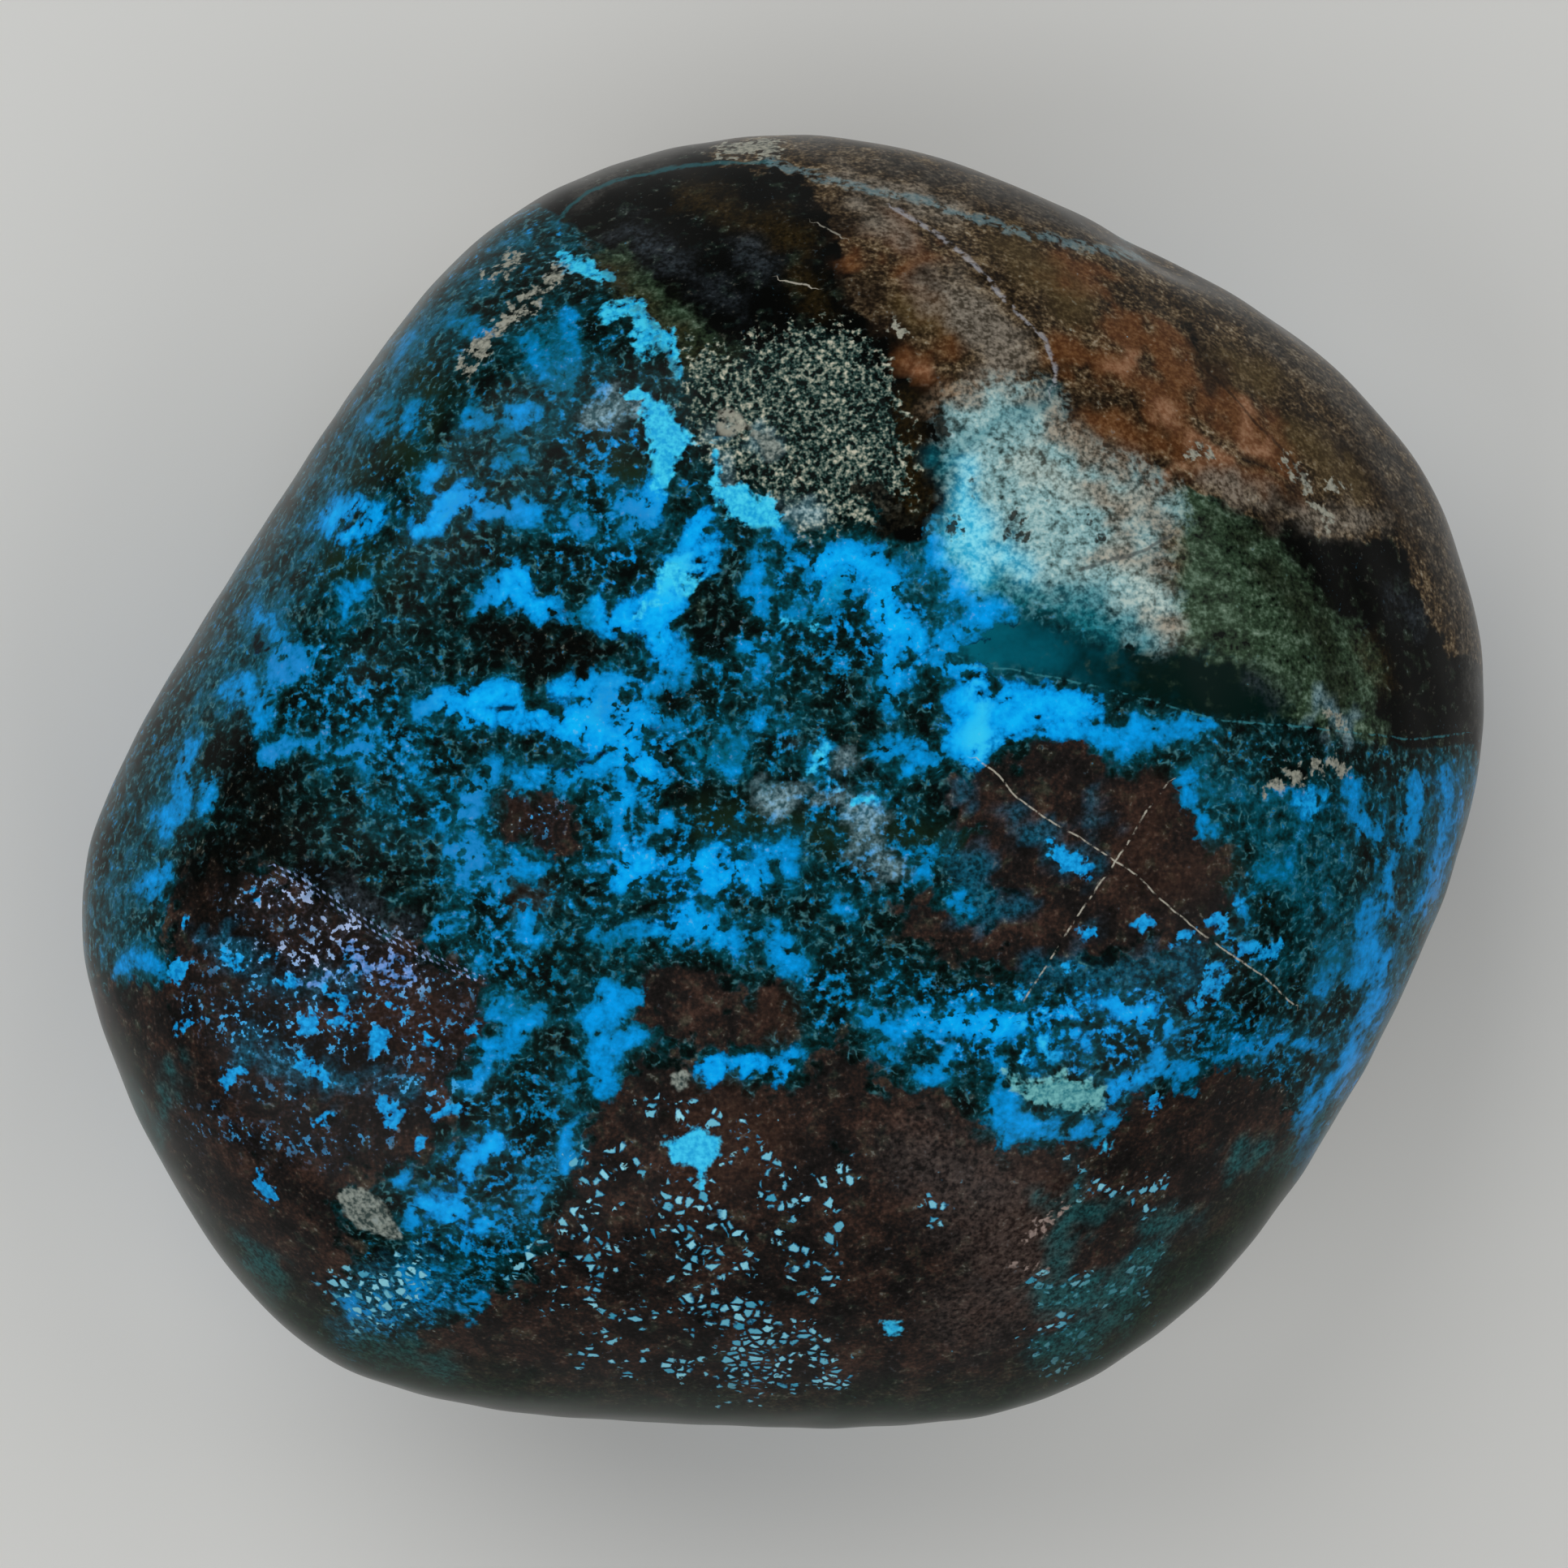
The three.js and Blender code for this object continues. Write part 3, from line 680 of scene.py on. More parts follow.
    "net": {                 # pale cells in the front maroon
        "a": [(715, 1432, 14), (740, 1445, 16), (770, 1430, 18), (735, 1475, 10)],
        "b": [(722, 1515, 12), (760, 1540, 12), (785, 1560, 7)],
        "c": [(835, 1465, 14), (855, 1475, 12), (880, 1495, 12), (905, 1515, 10)],
        "d": [(812, 1505, 12), (845, 1530, 22), (870, 1550, 22), (850, 1565, 12)],
        "e": [(898, 1562, 18), (925, 1575, 14)],
        "f": [(865, 1600, 20), (850, 1630, 14), (885, 1620, 12)],
        "g": [(915, 1620, 22), (920, 1660, 30), (955, 1680, 30), (905, 1700, 24), (950, 1640, 18)],
        "h": [(988, 1640, 8), (1000, 1665, 12), (1018, 1690, 13), (1040, 1700, 6)],
        "i": [(925, 1420, 10), (960, 1440, 12), (985, 1455, 10)],
        "j": [(942, 1475, 8), (965, 1490, 9), (1005, 1480, 9)],
        "k": [(950, 1520, 6), (985, 1530, 8), (970, 1560, 8), (1000, 1570, 6)],
        "l": [(885, 1440, 10), (905, 1430, 8)],
        "u": [(1050, 1445, 8)],
        "w": [(700, 1500, 9), (735, 1590, 8), (660, 1610, 7)],
        "x": [(790, 1365, 5), (840, 1360, 4), (905, 1395, 5), (940, 1380, 5)],
        "y": [(1010, 1450, 6), (1030, 1520, 7), (1010, 1600, 6)],
        "v": [(1158, 1458, 9), (1150, 1500, 6)],
        "m": [(755, 1620, 8), (800, 1615, 6), (720, 1670, 5), (845, 1685, 5)],
        "n": [(1290, 1592, 14), (1312, 1605, 14), (1325, 1582, 10)],
        "o": [(1278, 1655, 10), (1310, 1645, 16), (1340, 1665, 12), (1300, 1680, 12)],
        "p": [(1370, 1600, 12), (1395, 1575, 12), (1400, 1610, 10), (1420, 1540, 8)],
        "r": [(625, 1580, 8), (645, 1560, 8), (690, 1545, 8)],
        "s": [(420, 1590, 20), (480, 1590, 26), (520, 1560, 20), (450, 1630, 16)],
        "t": [(1330, 1455, 7), (1310, 1445, 6), (1405, 1480, 6), (1440, 1460, 6)],
    },
    "flecksAndSheen": {              # small bright chips scattered on the left, over a faint painted sheen
        "a": [(300, 1110, 10), (345, 1110, 22), (420, 1150, 26), (500, 1190, 20), (560, 1215, 12)],
        "b": [(262, 1180, 18), (300, 1190, 26), (400, 1205, 44), (480, 1215, 34)],
        "c": [(250, 1250, 10), (300, 1265, 26), (400, 1260, 36), (500, 1275, 34), (560, 1280, 20)],
        "d": [(440, 1335, 10), (520, 1345, 20), (575, 1330, 12)],
        "e": [(240, 1380, 5), (330, 1400, 4), (390, 1420, 6), (460, 1400, 8)],
        "f": [(660, 1005, 18)],
        "g": [(300, 1340, 4), (370, 1350, 4)],
    },
    "fleckSheen": {               # painted highlight: where the flecks turn white and lavender in a lamp's sheen
        "a": [(300, 1110, 10), (360, 1110, 24), (430, 1150, 30), (500, 1190, 24)],
        "b": [(330, 1170, 16), (410, 1190, 20)],
    },
    "lilacSheen": {               # pale specks lit lilac by the painted highlight at the lower left
        "a": [(424, 1165, 8), (442, 1172, 12), (452, 1182, 8)],
        "b": [(472, 1188, 7), (474, 1200, 5), (494, 1182, 8), (494, 1194, 7)],
        "c": [(512, 1208, 5), (360, 1208, 5)],
    },
    "dark": {                # black in holes and slits, which is painted shade, and black gaps
        "a": [(428, 646, 5)],
        "b": [(450, 635, 4)],
        "c": [(826, 512, 3), (830, 522, 5), (834, 532, 4)],
        "d": [(785, 790, 6)],
        "e": [(812, 784, 4), (812, 792, 4)],
        "f": [(598, 890, 4), (612, 878, 5), (630, 868, 4)],
        "g": [(695, 946, 4), (722, 940, 5), (750, 928, 3)],
        "h": [(806, 900, 1.5), (845, 889, 1.5)],
        "i": [(312, 784, 5), (322, 798, 7), (338, 800, 4)],
        "j": [(1463, 398, 2), (1472, 416, 4), (1481, 440, 3)],
        "k": [(1218, 1402, 6)],
    },
    "cream": {               # tan and cream streaks
        "feather": [(692, 333, 5), (655, 365, 8), (632, 388, 3), (610, 405, 5), (590, 435, 6),
                    (568, 460, 4)],
        "dash": [(595, 340, 3), (620, 326, 4), (644, 312, 3)],
        "sideSpeck1": [(1562, 968, 6), (1590, 958, 9), (1620, 950, 6)],
        "sideSpeck2": [(1640, 938, 6), (1655, 952, 6)],
        "sideSpeck3": [(1640, 878, 5), (1652, 896, 5)],
        "capSpeck1": [(1582, 562, 1), (1606, 598, 1), (1626, 625, 3), (1638, 645, 3)],
        "capSpeck2": [(1642, 596, 2), (1655, 604, 2)],
        "capSpeck3": [(1462, 552, 3), (1490, 562, 3)],
        "capSpeck4": [(1100, 405, 3), (1125, 418, 4)],
        "top": [(890, 182, 8), (950, 180, 10)],
    },
    "cell": {                # pale green oval at the front right
        "oval": [(1280, 1348, 14), (1305, 1350, 22), (1332, 1350, 20), (1352, 1352, 9)],
        "ovalEdge": [(1232, 1322, 4), (1252, 1334, 8), (1270, 1338, 10)],
    },
    "green": {               # moss green tints in the ground
        "a": [(505, 420, 20), (520, 480, 24), (500, 560, 24), (540, 590, 20)],
        "b": [(420, 690, 24), (470, 700, 20)],
        "c": [(440, 580, 14)],
        "d": [(1268, 1002, 10), (1290, 1010, 8)],
        "e": [(780, 600, 30), (750, 560, 20)],
        "f": [(930, 1010, 14)],
        "g": [(870, 1010, 16), (1500, 1080, 20)],
    },
    "chips": {               # small crisp blue chips
        "chip1": [(1498, 1134, 8.5), (1506, 1146, 7.5)],
        "chip2": [(1512, 1157, 7.5), (1528, 1165, 10.5), (1540, 1176, 7.5)],
        "chip3": [(1333, 1143, 8.5), (1347, 1156, 7.5)],
        "chip4": [(1450, 1162, 5.5), (1465, 1158, 6.5)],
        "chip5": [(1560, 1175, 7.5), (1575, 1162, 7.5)],
        "chip6": [(1488, 1216, 7.5), (1505, 1206, 7.5)],
        "chip7": [(1478, 1240, 10.5), (1492, 1236, 8.5)],
        "chip8": [(1310, 1195, 3.5), (1320, 1215, 3.5), (1330, 1232, 5.5)],
        "chip9": [(1300, 1045, 8.5), (1318, 1062, 9.5), (1335, 1070, 7.5)],
        "leftBlob": [(218, 1192, 14.5), (228, 1186, 9.5)],
        "chipLow1": [(320, 1458, 6.5), (330, 1472, 8.5)],
        "chipLow2": [(368, 1305, 7.5), (385, 1314, 9.5), (402, 1326, 8.5)],
        "chipLow3": [(275, 1332, 6.5), (293, 1322, 7.5), (305, 1318, 6.5)],
        "chipLow4": [(372, 1256, 9.5), (386, 1260, 9.5)],
        "chipLow5": [(460, 1272, 7.5), (472, 1286, 10.5)],
        "chipLow6": [(392, 1386, 6.5), (404, 1376, 7.5)],
        "chipLow7": [(474, 1364, 7.5), (484, 1376, 10.5)],
        "chipLow8": [(540, 1374, 7.5), (566, 1368, 6.5), (570, 1358, 5.5)],
        "chipLow9": [(525, 1412, 7.5), (518, 1420, 6.5)],
        "chipLow10": [(272, 1172, 6.5), (290, 1182, 8.5), (305, 1190, 7.5)],
        "chipLow11": [(352, 1212, 8.5), (362, 1206, 6.5)],
        "chipLow12": [(405, 1228, 7.5), (422, 1240, 8.5), (432, 1244, 5.5)],
        "chipLow13": [(225, 1268, 6.5), (245, 1262, 5.5)],
        "chipLow14": [(525, 1275, 6.5), (535, 1282, 5.5)],
        "chipLow15": [(584, 1266, 7.5), (582, 1274, 6.5)],
        "dot2": [(1422, 1360, 8.5), (1415, 1370, 5.5)],
        "spark1": [(1408, 1138, 6), (1424, 1130, 5)],
        "spark2": [(1485, 1190, 5), (1498, 1196, 6)],
        "spark3": [(1595, 985, 9), (1618, 988, 12), (1612, 1003, 8)],
        "spark4": [(1520, 1112, 7), (1528, 1104, 5)],
        "spark5": [(300, 1098, 3), (318, 1108, 3)],
        "spark6": [(232, 1138, 4), (248, 1128, 4)],
        "spark7": [(420, 1190, 6), (436, 1200, 5)],
        "spark8": [(410, 1252, 4), (428, 1262, 5), (446, 1258, 4)],
        "spark9": [(330, 1178, 5), (345, 1186, 5)],
        "spark10": [(480, 1236, 5), (494, 1244, 4)],
    },
    "night": {               # nearly black stone on the left
        "a": [(300, 915, 20), (315, 960, 36), (330, 1020, 40), (290, 1060, 30), (245, 1090, 24),
              (270, 1130, 14)],
        "b": [(380, 1070, 20), (440, 1110, 20)],
        "c": [(600, 780, 10), (680, 798, 20), (730, 804, 12)],
        "d": [(285, 1150, 24), (345, 1192, 18), (400, 1170, 10)],
        "e": [(300, 1262, 26), (400, 1292, 22), (480, 1306, 16)],
        "f": [(826, 850, 10)],
    },
    "frontSheen": {                # painted sheen: paler, greyer maroon at the front
        "a": [(1140, 1420, 40), (1230, 1500, 60), (1260, 1580, 50), (1180, 1620, 30)],
    },
    "blush": {               # pinkish grey specks at the front
        "a": [(1260, 1530, 22), (1290, 1510, 22), (1310, 1480, 18)],
        "b": [(1240, 1560, 18), (1320, 1560, 14)],
    },
    "cyanChips": {           # brightest flames along the black window
        "veinTop": [(697, 316, 7), (722, 330, 7), (745, 345, 5)],
        "veinTop2": [(745, 386, 6), (765, 376, 6), (785, 378, 6), (797, 400, 8), (818, 422, 11),
                     (832, 440, 8), (836, 462, 5)],
        "veinTop3": [(782, 412, 7), (800, 436, 5)],
        "cyanColumn": [(780, 488, 7), (800, 498, 12), (815, 522, 22), (832, 545, 20), (818, 572, 20),
                       (812, 592, 14)],
        "cyanSmall": [(880, 560, 8), (874, 590, 6)],
        "cyanPatch": [(890, 608, 12), (915, 620, 20), (945, 633, 14), (958, 642, 8)],
        "flameTop": [(812, 712, 6), (836, 706, 5), (846, 716, 8), (850, 730, 6)],
        "noteOne": [(780, 770, 4), (800, 745, 5), (812, 735, 5)],
        "noteTwo": [(968, 762, 3), (990, 768, 4), (1008, 774, 3)],
        "noteThree": [(1060, 992, 6), (1070, 990, 5)],
        "noteFour": [(1008, 930, 5), (1002, 945, 6)],
    },
}

lines = {                    # thin veins and cracks, as points along each
    "crackLong": [(1208, 938), (1228, 952), (1252, 982), (1292, 1010), (1340, 1038), (1362, 1052),
                  (1382, 1066), (1402, 1080), (1430, 1108), (1470, 1142), (1520, 1178), (1560, 1205),
                  (1592, 1236)],
    "crackShort": [(1440, 964), (1412, 1000), (1392, 1034), (1376, 1060), (1352, 1094), (1332, 1122),
                   (1310, 1156), (1258, 1240)],
    "bandLine": [(1160, 800), (1200, 820), (1240, 824), (1290, 833), (1350, 846), (1400, 858),
                 (1450, 873), (1500, 887), (1600, 895), (1690, 905), (1740, 911), (1800, 904)],
    "ridgeVein": [(690, 268), (701, 255), (724, 236), (774, 218), (830, 207), (875, 201), (950, 200)],
    "backVein": [(950, 200), (1000, 214), (1050, 228), (1100, 240), (1138, 246), (1201, 269), (1250, 284),
                 (1316, 298), (1414, 318)],
    "arcVein": [(1103, 257), (1155, 286), (1207, 332), (1259, 390), (1288, 418), (1298, 440), (1302, 460),
                (1296, 480)],
    "capCrack": [(1479, 447), (1521, 489), (1545, 519), (1582, 556), (1610, 590)],
    "windowEdge": [(724, 302), (760, 345), (800, 395), (836, 459)],
    # the crease at the lower left, dotted with a painted highlight
    "ridge": [(335, 1070), (362, 1082), (400, 1106), (440, 1132), (480, 1156), (519, 1176), (560, 1194),
              (592, 1208)],
    "crustCrease": [(1335, 702), (1365, 690), (1400, 684), (1440, 660)],
    "scratchOne": [(965, 345), (998, 352)],
    "scratchTwo": [(1010, 278), (1035, 290)],
    "holeRing": [(901, 505), (913, 512), (914, 526), (905, 534), (892, 531), (887, 519), (892, 508),
                 (901, 505)],
}


# Reading the marks at the grid points

reach = {                    # pixels over which each field falls off beside its marks
    "brown": 30, "black": 24, "moss": 24, "deepTeal": 16, "pale": 30, "speckle": 30, "maroon": 30,
    "blue": 24, "calm": 50, "dense": 60, "wash": 24, "bright": 50, "cyan": 24, "lavender": 30,
    "rust": 24, "pink": 14, "ochre": 24, "capGrey": 24, "capShade": 16, "rim": 20, "haze": 24,
    "slateSheen": 24, "olive": 24, "crustCream": 24, "crustTeal": 14, "crustBrown": 20, "crustCyan": 24,
    "crustDark": 8, "mossShade": 24, "red": 40, "veil": 24, "tealSoft": 20, "limbShade": 40, "net": 40,
    "flecksAndSheen": 40, "fleckSheen": 40, "lilacSheen": 12, "dark": 8, "cream": 12, "cell": 14, "green": 30,
    "leaf": 10, "star": 10, "cyanChips": 12, "tealTone": 20, "chips": 8, "night": 40, "blush": 20,
    "frontSheen": 60,
}

# Below the widest part the picture shows nothing: there its marks are carried down, turned
# and drifting. Each set of waves is given by its count and its shortest and longest in mm

sides = {
    "start": 18.0,           # mm above the floor
    "end": 3.0,
    "turn": 50.0,            # degrees
    "drift": 110.0,          # pixels
    "driftSeeds": (11, 12),  # for across and down
    "driftWaves": (12, 14.0, 40.0),
    "wander": 24.0,          # pixels, over the widest part too
    "wanderStart": 21.0,     # mm above the floor
    "wanderEnd": 15.0,
    "wanderSeeds": (13, 14),
    "wanderWaves": (16, 3.0, 9.0),
    "patchSeed": 61,         # for the waves that more of the blue follows
    "patchWaves": (24, 2.5, 9.0),
    "patchStart": 19.5,      # mm above the floor
    "patchEnd": 12.0,
}

ragged = {                   # the edges of the marks stray by this
    "reach": 6.0,            # pixels
    "seeds": (41, 42),
    "waves": (24, 0.7, 2.4),
}

crumbleSeed = 43             # crumbles the edges of the soft tints
crumbleWaves = (40, 0.5, 2.0)

warps = {                    # pull on the patterns: seed, waves, reach in mm
    "swirl": (21, (14, 2.0, 6.0), 0.20),
    "ripple": (31, (14, 0.9, 2.4), 0.07),
}

farAway = 1e9                # pixels
lineEnd, lineWhole = 16.0, 8.0   # pixels from a line where it has gone, and where it is whole

softMarks = {                # softness of the marks that are read as soft masks
    "calm": 0.6, "dense": 0.6, "wash": 0.7, "green": 0.8, "bright": 0.6, "lavender": 0.8, "cyan": 0.6,
    "tealTone": 0.8, "net": 0.9, "flecksAndSheen": 0.7, "fleckSheen": 0.7,
}

washes = {                   # soft tints: colour in the dips and on the rises, strength, softness
    "hostWash": {            # under the blue
        "night": ("black", "blackWarm", 0.85, 0.8),
        "red": ("redDark", "red", 0.7, 0.9),
        # painted sheen on the front maroon
        "frontSheen": ("frontSheenDark", "frontSheen", 0.6, 0.9),
        "veil": ("veilDark", "veil", 0.75, 0.5),
        "rust": ("rustDark", "rust", 0.85, 0.6),
        "pink": ("pinkDark", "pink", 0.8, 0.6),
        "ochre": ("ochreDark", "ochre", 0.7, 0.8),
        "capGrey": ("capGreyDark", "capGrey", 0.8, 0.8),
        "capShade": ("shadeDark", "shade", 0.85, 0.7),
        "mossShade": ("mossShadeDark", "mossShade", 0.85, 0.7),
        "olive": ("oliveDark", "olive", 0.5, 0.8),
        # painted reflection of the lamps on the dark stone
        "slateSheen": ("slateSheenDark", "slateSheen", 0.45, 0.8),
        # rim: painted reflection along the back edge
        "rim": ("rimSheenDark", "rim", 0.55, 0.9),
    },
    "lastWash": {            # over everything but the chips
        "crustCream": ("creamDark", "creamPale", 0.45, 0.6),
        "crustBrown": ("crustBrownDark", "crustBrown", 0.65, 0.5),
        "crustTeal": ("crustTealDark", "crustTeal", 0.7, 0.8),
        "crustCyan": ("cyanDark", "cyanPale", 0.85, 0.8),
        "tealSoft": ("tealSoftDark", "tealSoft", 0.7, 0.7),
        "haze": ("quartzDark", "quartz", 0.7, 0.5),
        # painted shade along the front edge
        "limbShade": ("limbShadeDark", "limbShade", 0.85, 0.9),
    },
}

chipSets = {                 # crisp tints: colour in the dips and on the rises, how rough, growth
    "lastChips": {
        # black in the pits is painted shade
        "crustDark": ("black", "blackLight", 0.8, 0.0),
        # specks lit lilac by a painted highlight
        "lilacSheen": ("lavender", "lilacSheen", 1.0, -0.2),
        "cream": ("featherDark", "feather", 1.0, 0.0),
        "cell": ("cellDark", "cell", 0.5, 0.0),
        "leaf": ("leafDark", "leaf", 0.25, 0.0),
        "star": ("starDark", "star", 0.4, 0.0),
        "chips": ("chipDark", "chip", 0.8, 0.0),
        "cyanChips": ("cyanChipDark", "cyanChip", 0.45, 0.1),
        "blush": ("blushDark", "blush", 1.0, -1.3),
        # black in holes and slits is painted shade
        "dark": ("black", "black", 0.4, 0.0),
    },
}

veinSets = {                 # lines: half width in pixels, strength, how broken, colour
    "veins": {
        "ridgeVein": (2.0, 0.7, 0.0, "lineTeal"),
        "arcVein": (2.6, 0.55, 0.7, "lineLilac"),
        "capCrack": (1.6, 0.6, 0.2, "shadeDark"),
        "windowEdge": (6.0, 0.5, 0.8, "lineBrown"),
        "crustCrease": (2.5, 0.7, 0.0, "creaseGrey"),
        "bandLine": (1.2, 0.5, 0.7, "lineCyan"),
        "crackLong": (1.0, 0.85, 0.5, "crack"),
    },
    "crossVeins": {
        "backVein": (5.0, 0.4, 0.5, "lineBlue"),
        "crackShort": (1.0, 0.85, 0.7, "crack"),
        "scratchOne": (1.0, 0.8, 0.0, "crack"),
        "scratchTwo": (1.0, 0.5, 0.2, "crack"),
        "holeRing": (4.0, 0.75, 0.3, "feather"),
    },
}

lineParts = ("Offset", "Away", "Along")
fieldPlaces = {}


def strokeDepth(across, down, stroke):
    # deepest of (half width - distance) over the stroke's tapered segments
    deepest = np.full(len(across), -farAway)
    ends = stroke if len(stroke) > 1 else stroke * 2
    for (x0, y0, r0), (x1, y1, r1) in zip(ends[:-1], ends[1:]):
        dx, dy = x1 - x0, y1 - y0
        t = np.clip(((across - x0) * dx + (down - y0) * dy) / max(dx * dx + dy * dy, 1e-9), 0.0, 1.0)
        gap = np.hypot(across - x0 - t * dx, down - y0 - t * dy)
        deepest = np.maximum(deepest, r0 + t * (r1 - r0) - gap)
    return deepest


def outlineDepth(across, down, outline):
    # distance to the outline, positive inside it
    nearest = np.full(len(across), farAway)
    inside = np.zeros(len(across), dtype=bool)
    for (x0, y0), (x1, y1) in zip(outline, outline[1:] + outline[:1]):
        dx, dy = x1 - x0, y1 - y0
        t = np.clip(((across - x0) * dx + (down - y0) * dy) / (dx * dx + dy * dy), 0.0, 1.0)
        nearest = np.minimum(nearest, np.hypot(across - x0 - t * dx, down - y0 - t * dy))
        if dy != 0:
            crosses = (y0 > down) != (y1 > down)
            inside ^= crosses & (across < x0 + (down - y0) / dy * dx)
    return np.where(inside, nearest, -nearest)


def lineOffset(across, down, points):
    # (distance to the line with the sign of the side, distance, distance walked along the line)
    nearest = np.full(len(across), farAway)
    signed, along, walked = np.zeros(len(across)), np.zeros(len(across)), 0.0
    for (x0, y0), (x1, y1) in zip(points[:-1], points[1:]):
        dx, dy = x1 - x0, y1 - y0
        length = np.hypot(dx, dy)
        t = np.clip(((across - x0) * dx + (down - y0) * dy) / length ** 2, 0.0, 1.0)
        gap = np.hypot(across - x0 - t * dx, down - y0 - t * dy)
        side = np.where((across - x0) * dy - (down - y0) * dx >= 0, 1.0, -1.0)
        closer = gap < nearest
        nearest = np.where(closer, gap, nearest)
        signed = np.where(closer, gap * side, signed)
        along = np.where(closer, walked + t * length, along)
        walked += length
    return signed, nearest, along


def smoothStep(value, low, high):
    t = np.clip((value - low) / (high - low), 0.0, 1.0)
    return t * t * (3 - 2 * t)


def ink(name):
    return np.array(colours[name][:3])


def washFields(depths, crumble, tints):
    # each tint laid over the last: total = total + shown * (tint - total)
    amount = np.zeros(len(crumble))
    low, high = np.zeros((2, len(crumble), 3))
    for name, (dip, rise, strength, softness) in tints.items():
        shown = strength * smoothStep(depths[name] + (1 - softness) * crumble, -softness, softness)
        amount += shown * (1 - amount)
        low += shown[:, None] * (ink(dip) - low)
        high += shown[:, None] * (ink(rise) - high)
    return {"Amount": amount, "Low": low, "High": high}


def chipFields(depths, tints):
    # the deepest mark at each point, and its own colours and roughness
    deepest = np.full(len(next(iter(depths.values()))), -1.0)
    rough = np.zeros(len(deepest))
    low, high = np.zeros((2, len(deepest), 3))
    for name, (dip, rise, roughness, growth) in tints.items():
        depth = depths[name] + np.where(depths[name] > -1, growth, 0.0)
        deeper = depth > deepest
        deepest, rough = np.where(deeper, depth, deepest), np.where(deeper, roughness, rough)
        low[deeper], high[deeper] = ink(dip), ink(rise)
    return {"Depth": deepest, "Rough": rough, "Low": low, "High": high}


def veinFields(across, down, strokes):
    # the nearest line at each point: offset over its half width, strength close by, how broken
    # and colour
    nearest = np.full(len(across), farAway)
    offset, shown, broken = np.zeros((3, len(across)))
    tone = np.zeros((len(across), 3))
    for name, (halfWidth, strength, gaps, colour) in strokes.items():
        signed, away, _ = lineOffset(across, down, lines[name])
        closer = away < nearest
        nearest = np.where(closer, away, nearest)
        offset = np.where(closer, signed / halfWidth, offset)
        shown = np.where(closer, strength * smoothStep(away, lineEnd, lineWhole), shown)
        broken = np.where(closer, gaps, broken)
        tone[closer] = ink(colour)
    return {"Offset": offset, "Shown": shown, "Broken": broken, "Tone": tone}


def pictureFields(points):
    across, down = toPicture(points)
    height = points[:, 2]
    drift = sides["drift"] * smoothStep(height, sides["start"], sides["end"])
    wander = sides["wander"] * smoothStep(height, sides["wanderStart"], sides["wanderEnd"])
    turn = np.radians(sides["turn"]) * smoothStep(height, sides["start"], sides["end"])
    east, south = across - picture["middleX"], down - picture["middleY"]
    across = picture["middleX"] + east * np.cos(turn) - south * np.sin(turn)
    down = picture["middleY"] + east * np.sin(turn) + south * np.cos(turn)
    for value, driftSeed, wanderSeed in zip((across, down), sides["driftSeeds"], sides["wanderSeeds"]):
        drifted = drift * waves(points, driftSeed, *sides["driftWaves"])
        value += drifted + wander * waves(points, wanderSeed, *sides["wanderWaves"])
    depths = {}
    for name, outlines in zones.items():
        depth = np.max([outlineDepth(across, down, outline) for outline in outlines.values()], axis=0)
        depths[name] = np.clip(depth / reach[name], -1, 1)
    strayed = [value + ragged["reach"] * waves(points, seed, *ragged["waves"])
               for value, seed in zip((across, down), ragged["seeds"])]
    for name, strokes in marks.items():
        depth = np.max([strokeDepth(*strayed, stroke) for stroke in strokes.values()], axis=0)
        depths[name] = np.clip(depth / reach[name], -1, 1)

    # more blue on the sides, away from the darker stone
    host = np.max([depths["brown"], depths["black"], depths["moss"], depths["maroon"] - 0.6], axis=0)
    rise = 0.9 + 1.1 * waves(points, sides["patchSeed"], *sides["patchWaves"])
    patches = rise * smoothStep(height, sides["patchStart"], sides["patchEnd"])
    patches -= 1.0 + 2.0 * np.maximum(host + 0.4, 0.0)
    depths["blue"] = np.maximum(depths["blue"], np.clip(patches, -1, 1))

    crumble = np.clip(waves(points, crumbleSeed, *crumbleWaves), -1, 1)
    fields = {name: depths[name] for name in [*edges, "blue"]}
    for name, softness in softMarks.items():
        fields[name] = smoothStep(depths[name] + (1 - softness) * crumble, -softness, softness)
    sets = {name: washFields(depths, crumble, tints) for name, tints in washes.items()}
    sets.update({name: chipFields(depths, tints) for name, tints in chipSets.items()})
    sets.update({name: veinFields(across, down, strokes) for name, strokes in veinSets.items()})
    sets["ridge"] = dict(zip(lineParts, lineOffset(across, down, lines["ridge"])))
    for name, parts in sets.items():
        fields.update({name + part: values for part, values in parts.items()})
    for name, (seed, lengths, pull) in warps.items():
        pulls = [waves(points, seed + axis, *lengths) for axis in range(3)]
        fields[name] = points + pull * np.stack(pulls, axis=1)
    return fields


def writeFields(mesh, fields):
    # plain fields go three to a vector, which renders faster, and the place of each is noted
    plain = [name for name, values in fields.items() if values.ndim == 1]
    vectors = {name: values for name, values in fields.items() if values.ndim == 2}
    for start in range(0, len(plain), 3):
        names = (plain[start:start + 3] * 3)[:3]
        vectors[f"fields{start // 3}"] = np.stack([fields[name] for name in names], axis=1)
        for axis, name in enumerate(plain[start:start + 3]):
            fieldPlaces[name] = (f"fields{start // 3}", axis)
    for name, values in vectors.items():
        attribute = mesh.attributes.new(name, "FLOAT_VECTOR", "POINT")
        attribute.data.foreach_set("vector", values.astype(np.float32).ravel())
    print(f"stone: {len(plain)} fields in {len(vectors)} attributes")


# Node helpers

def plug(tree, socket, value):
    if isinstance(value, bpy.types.NodeSocket):
        tree.links.new(value, socket)
    else:
        socket.default_value = value


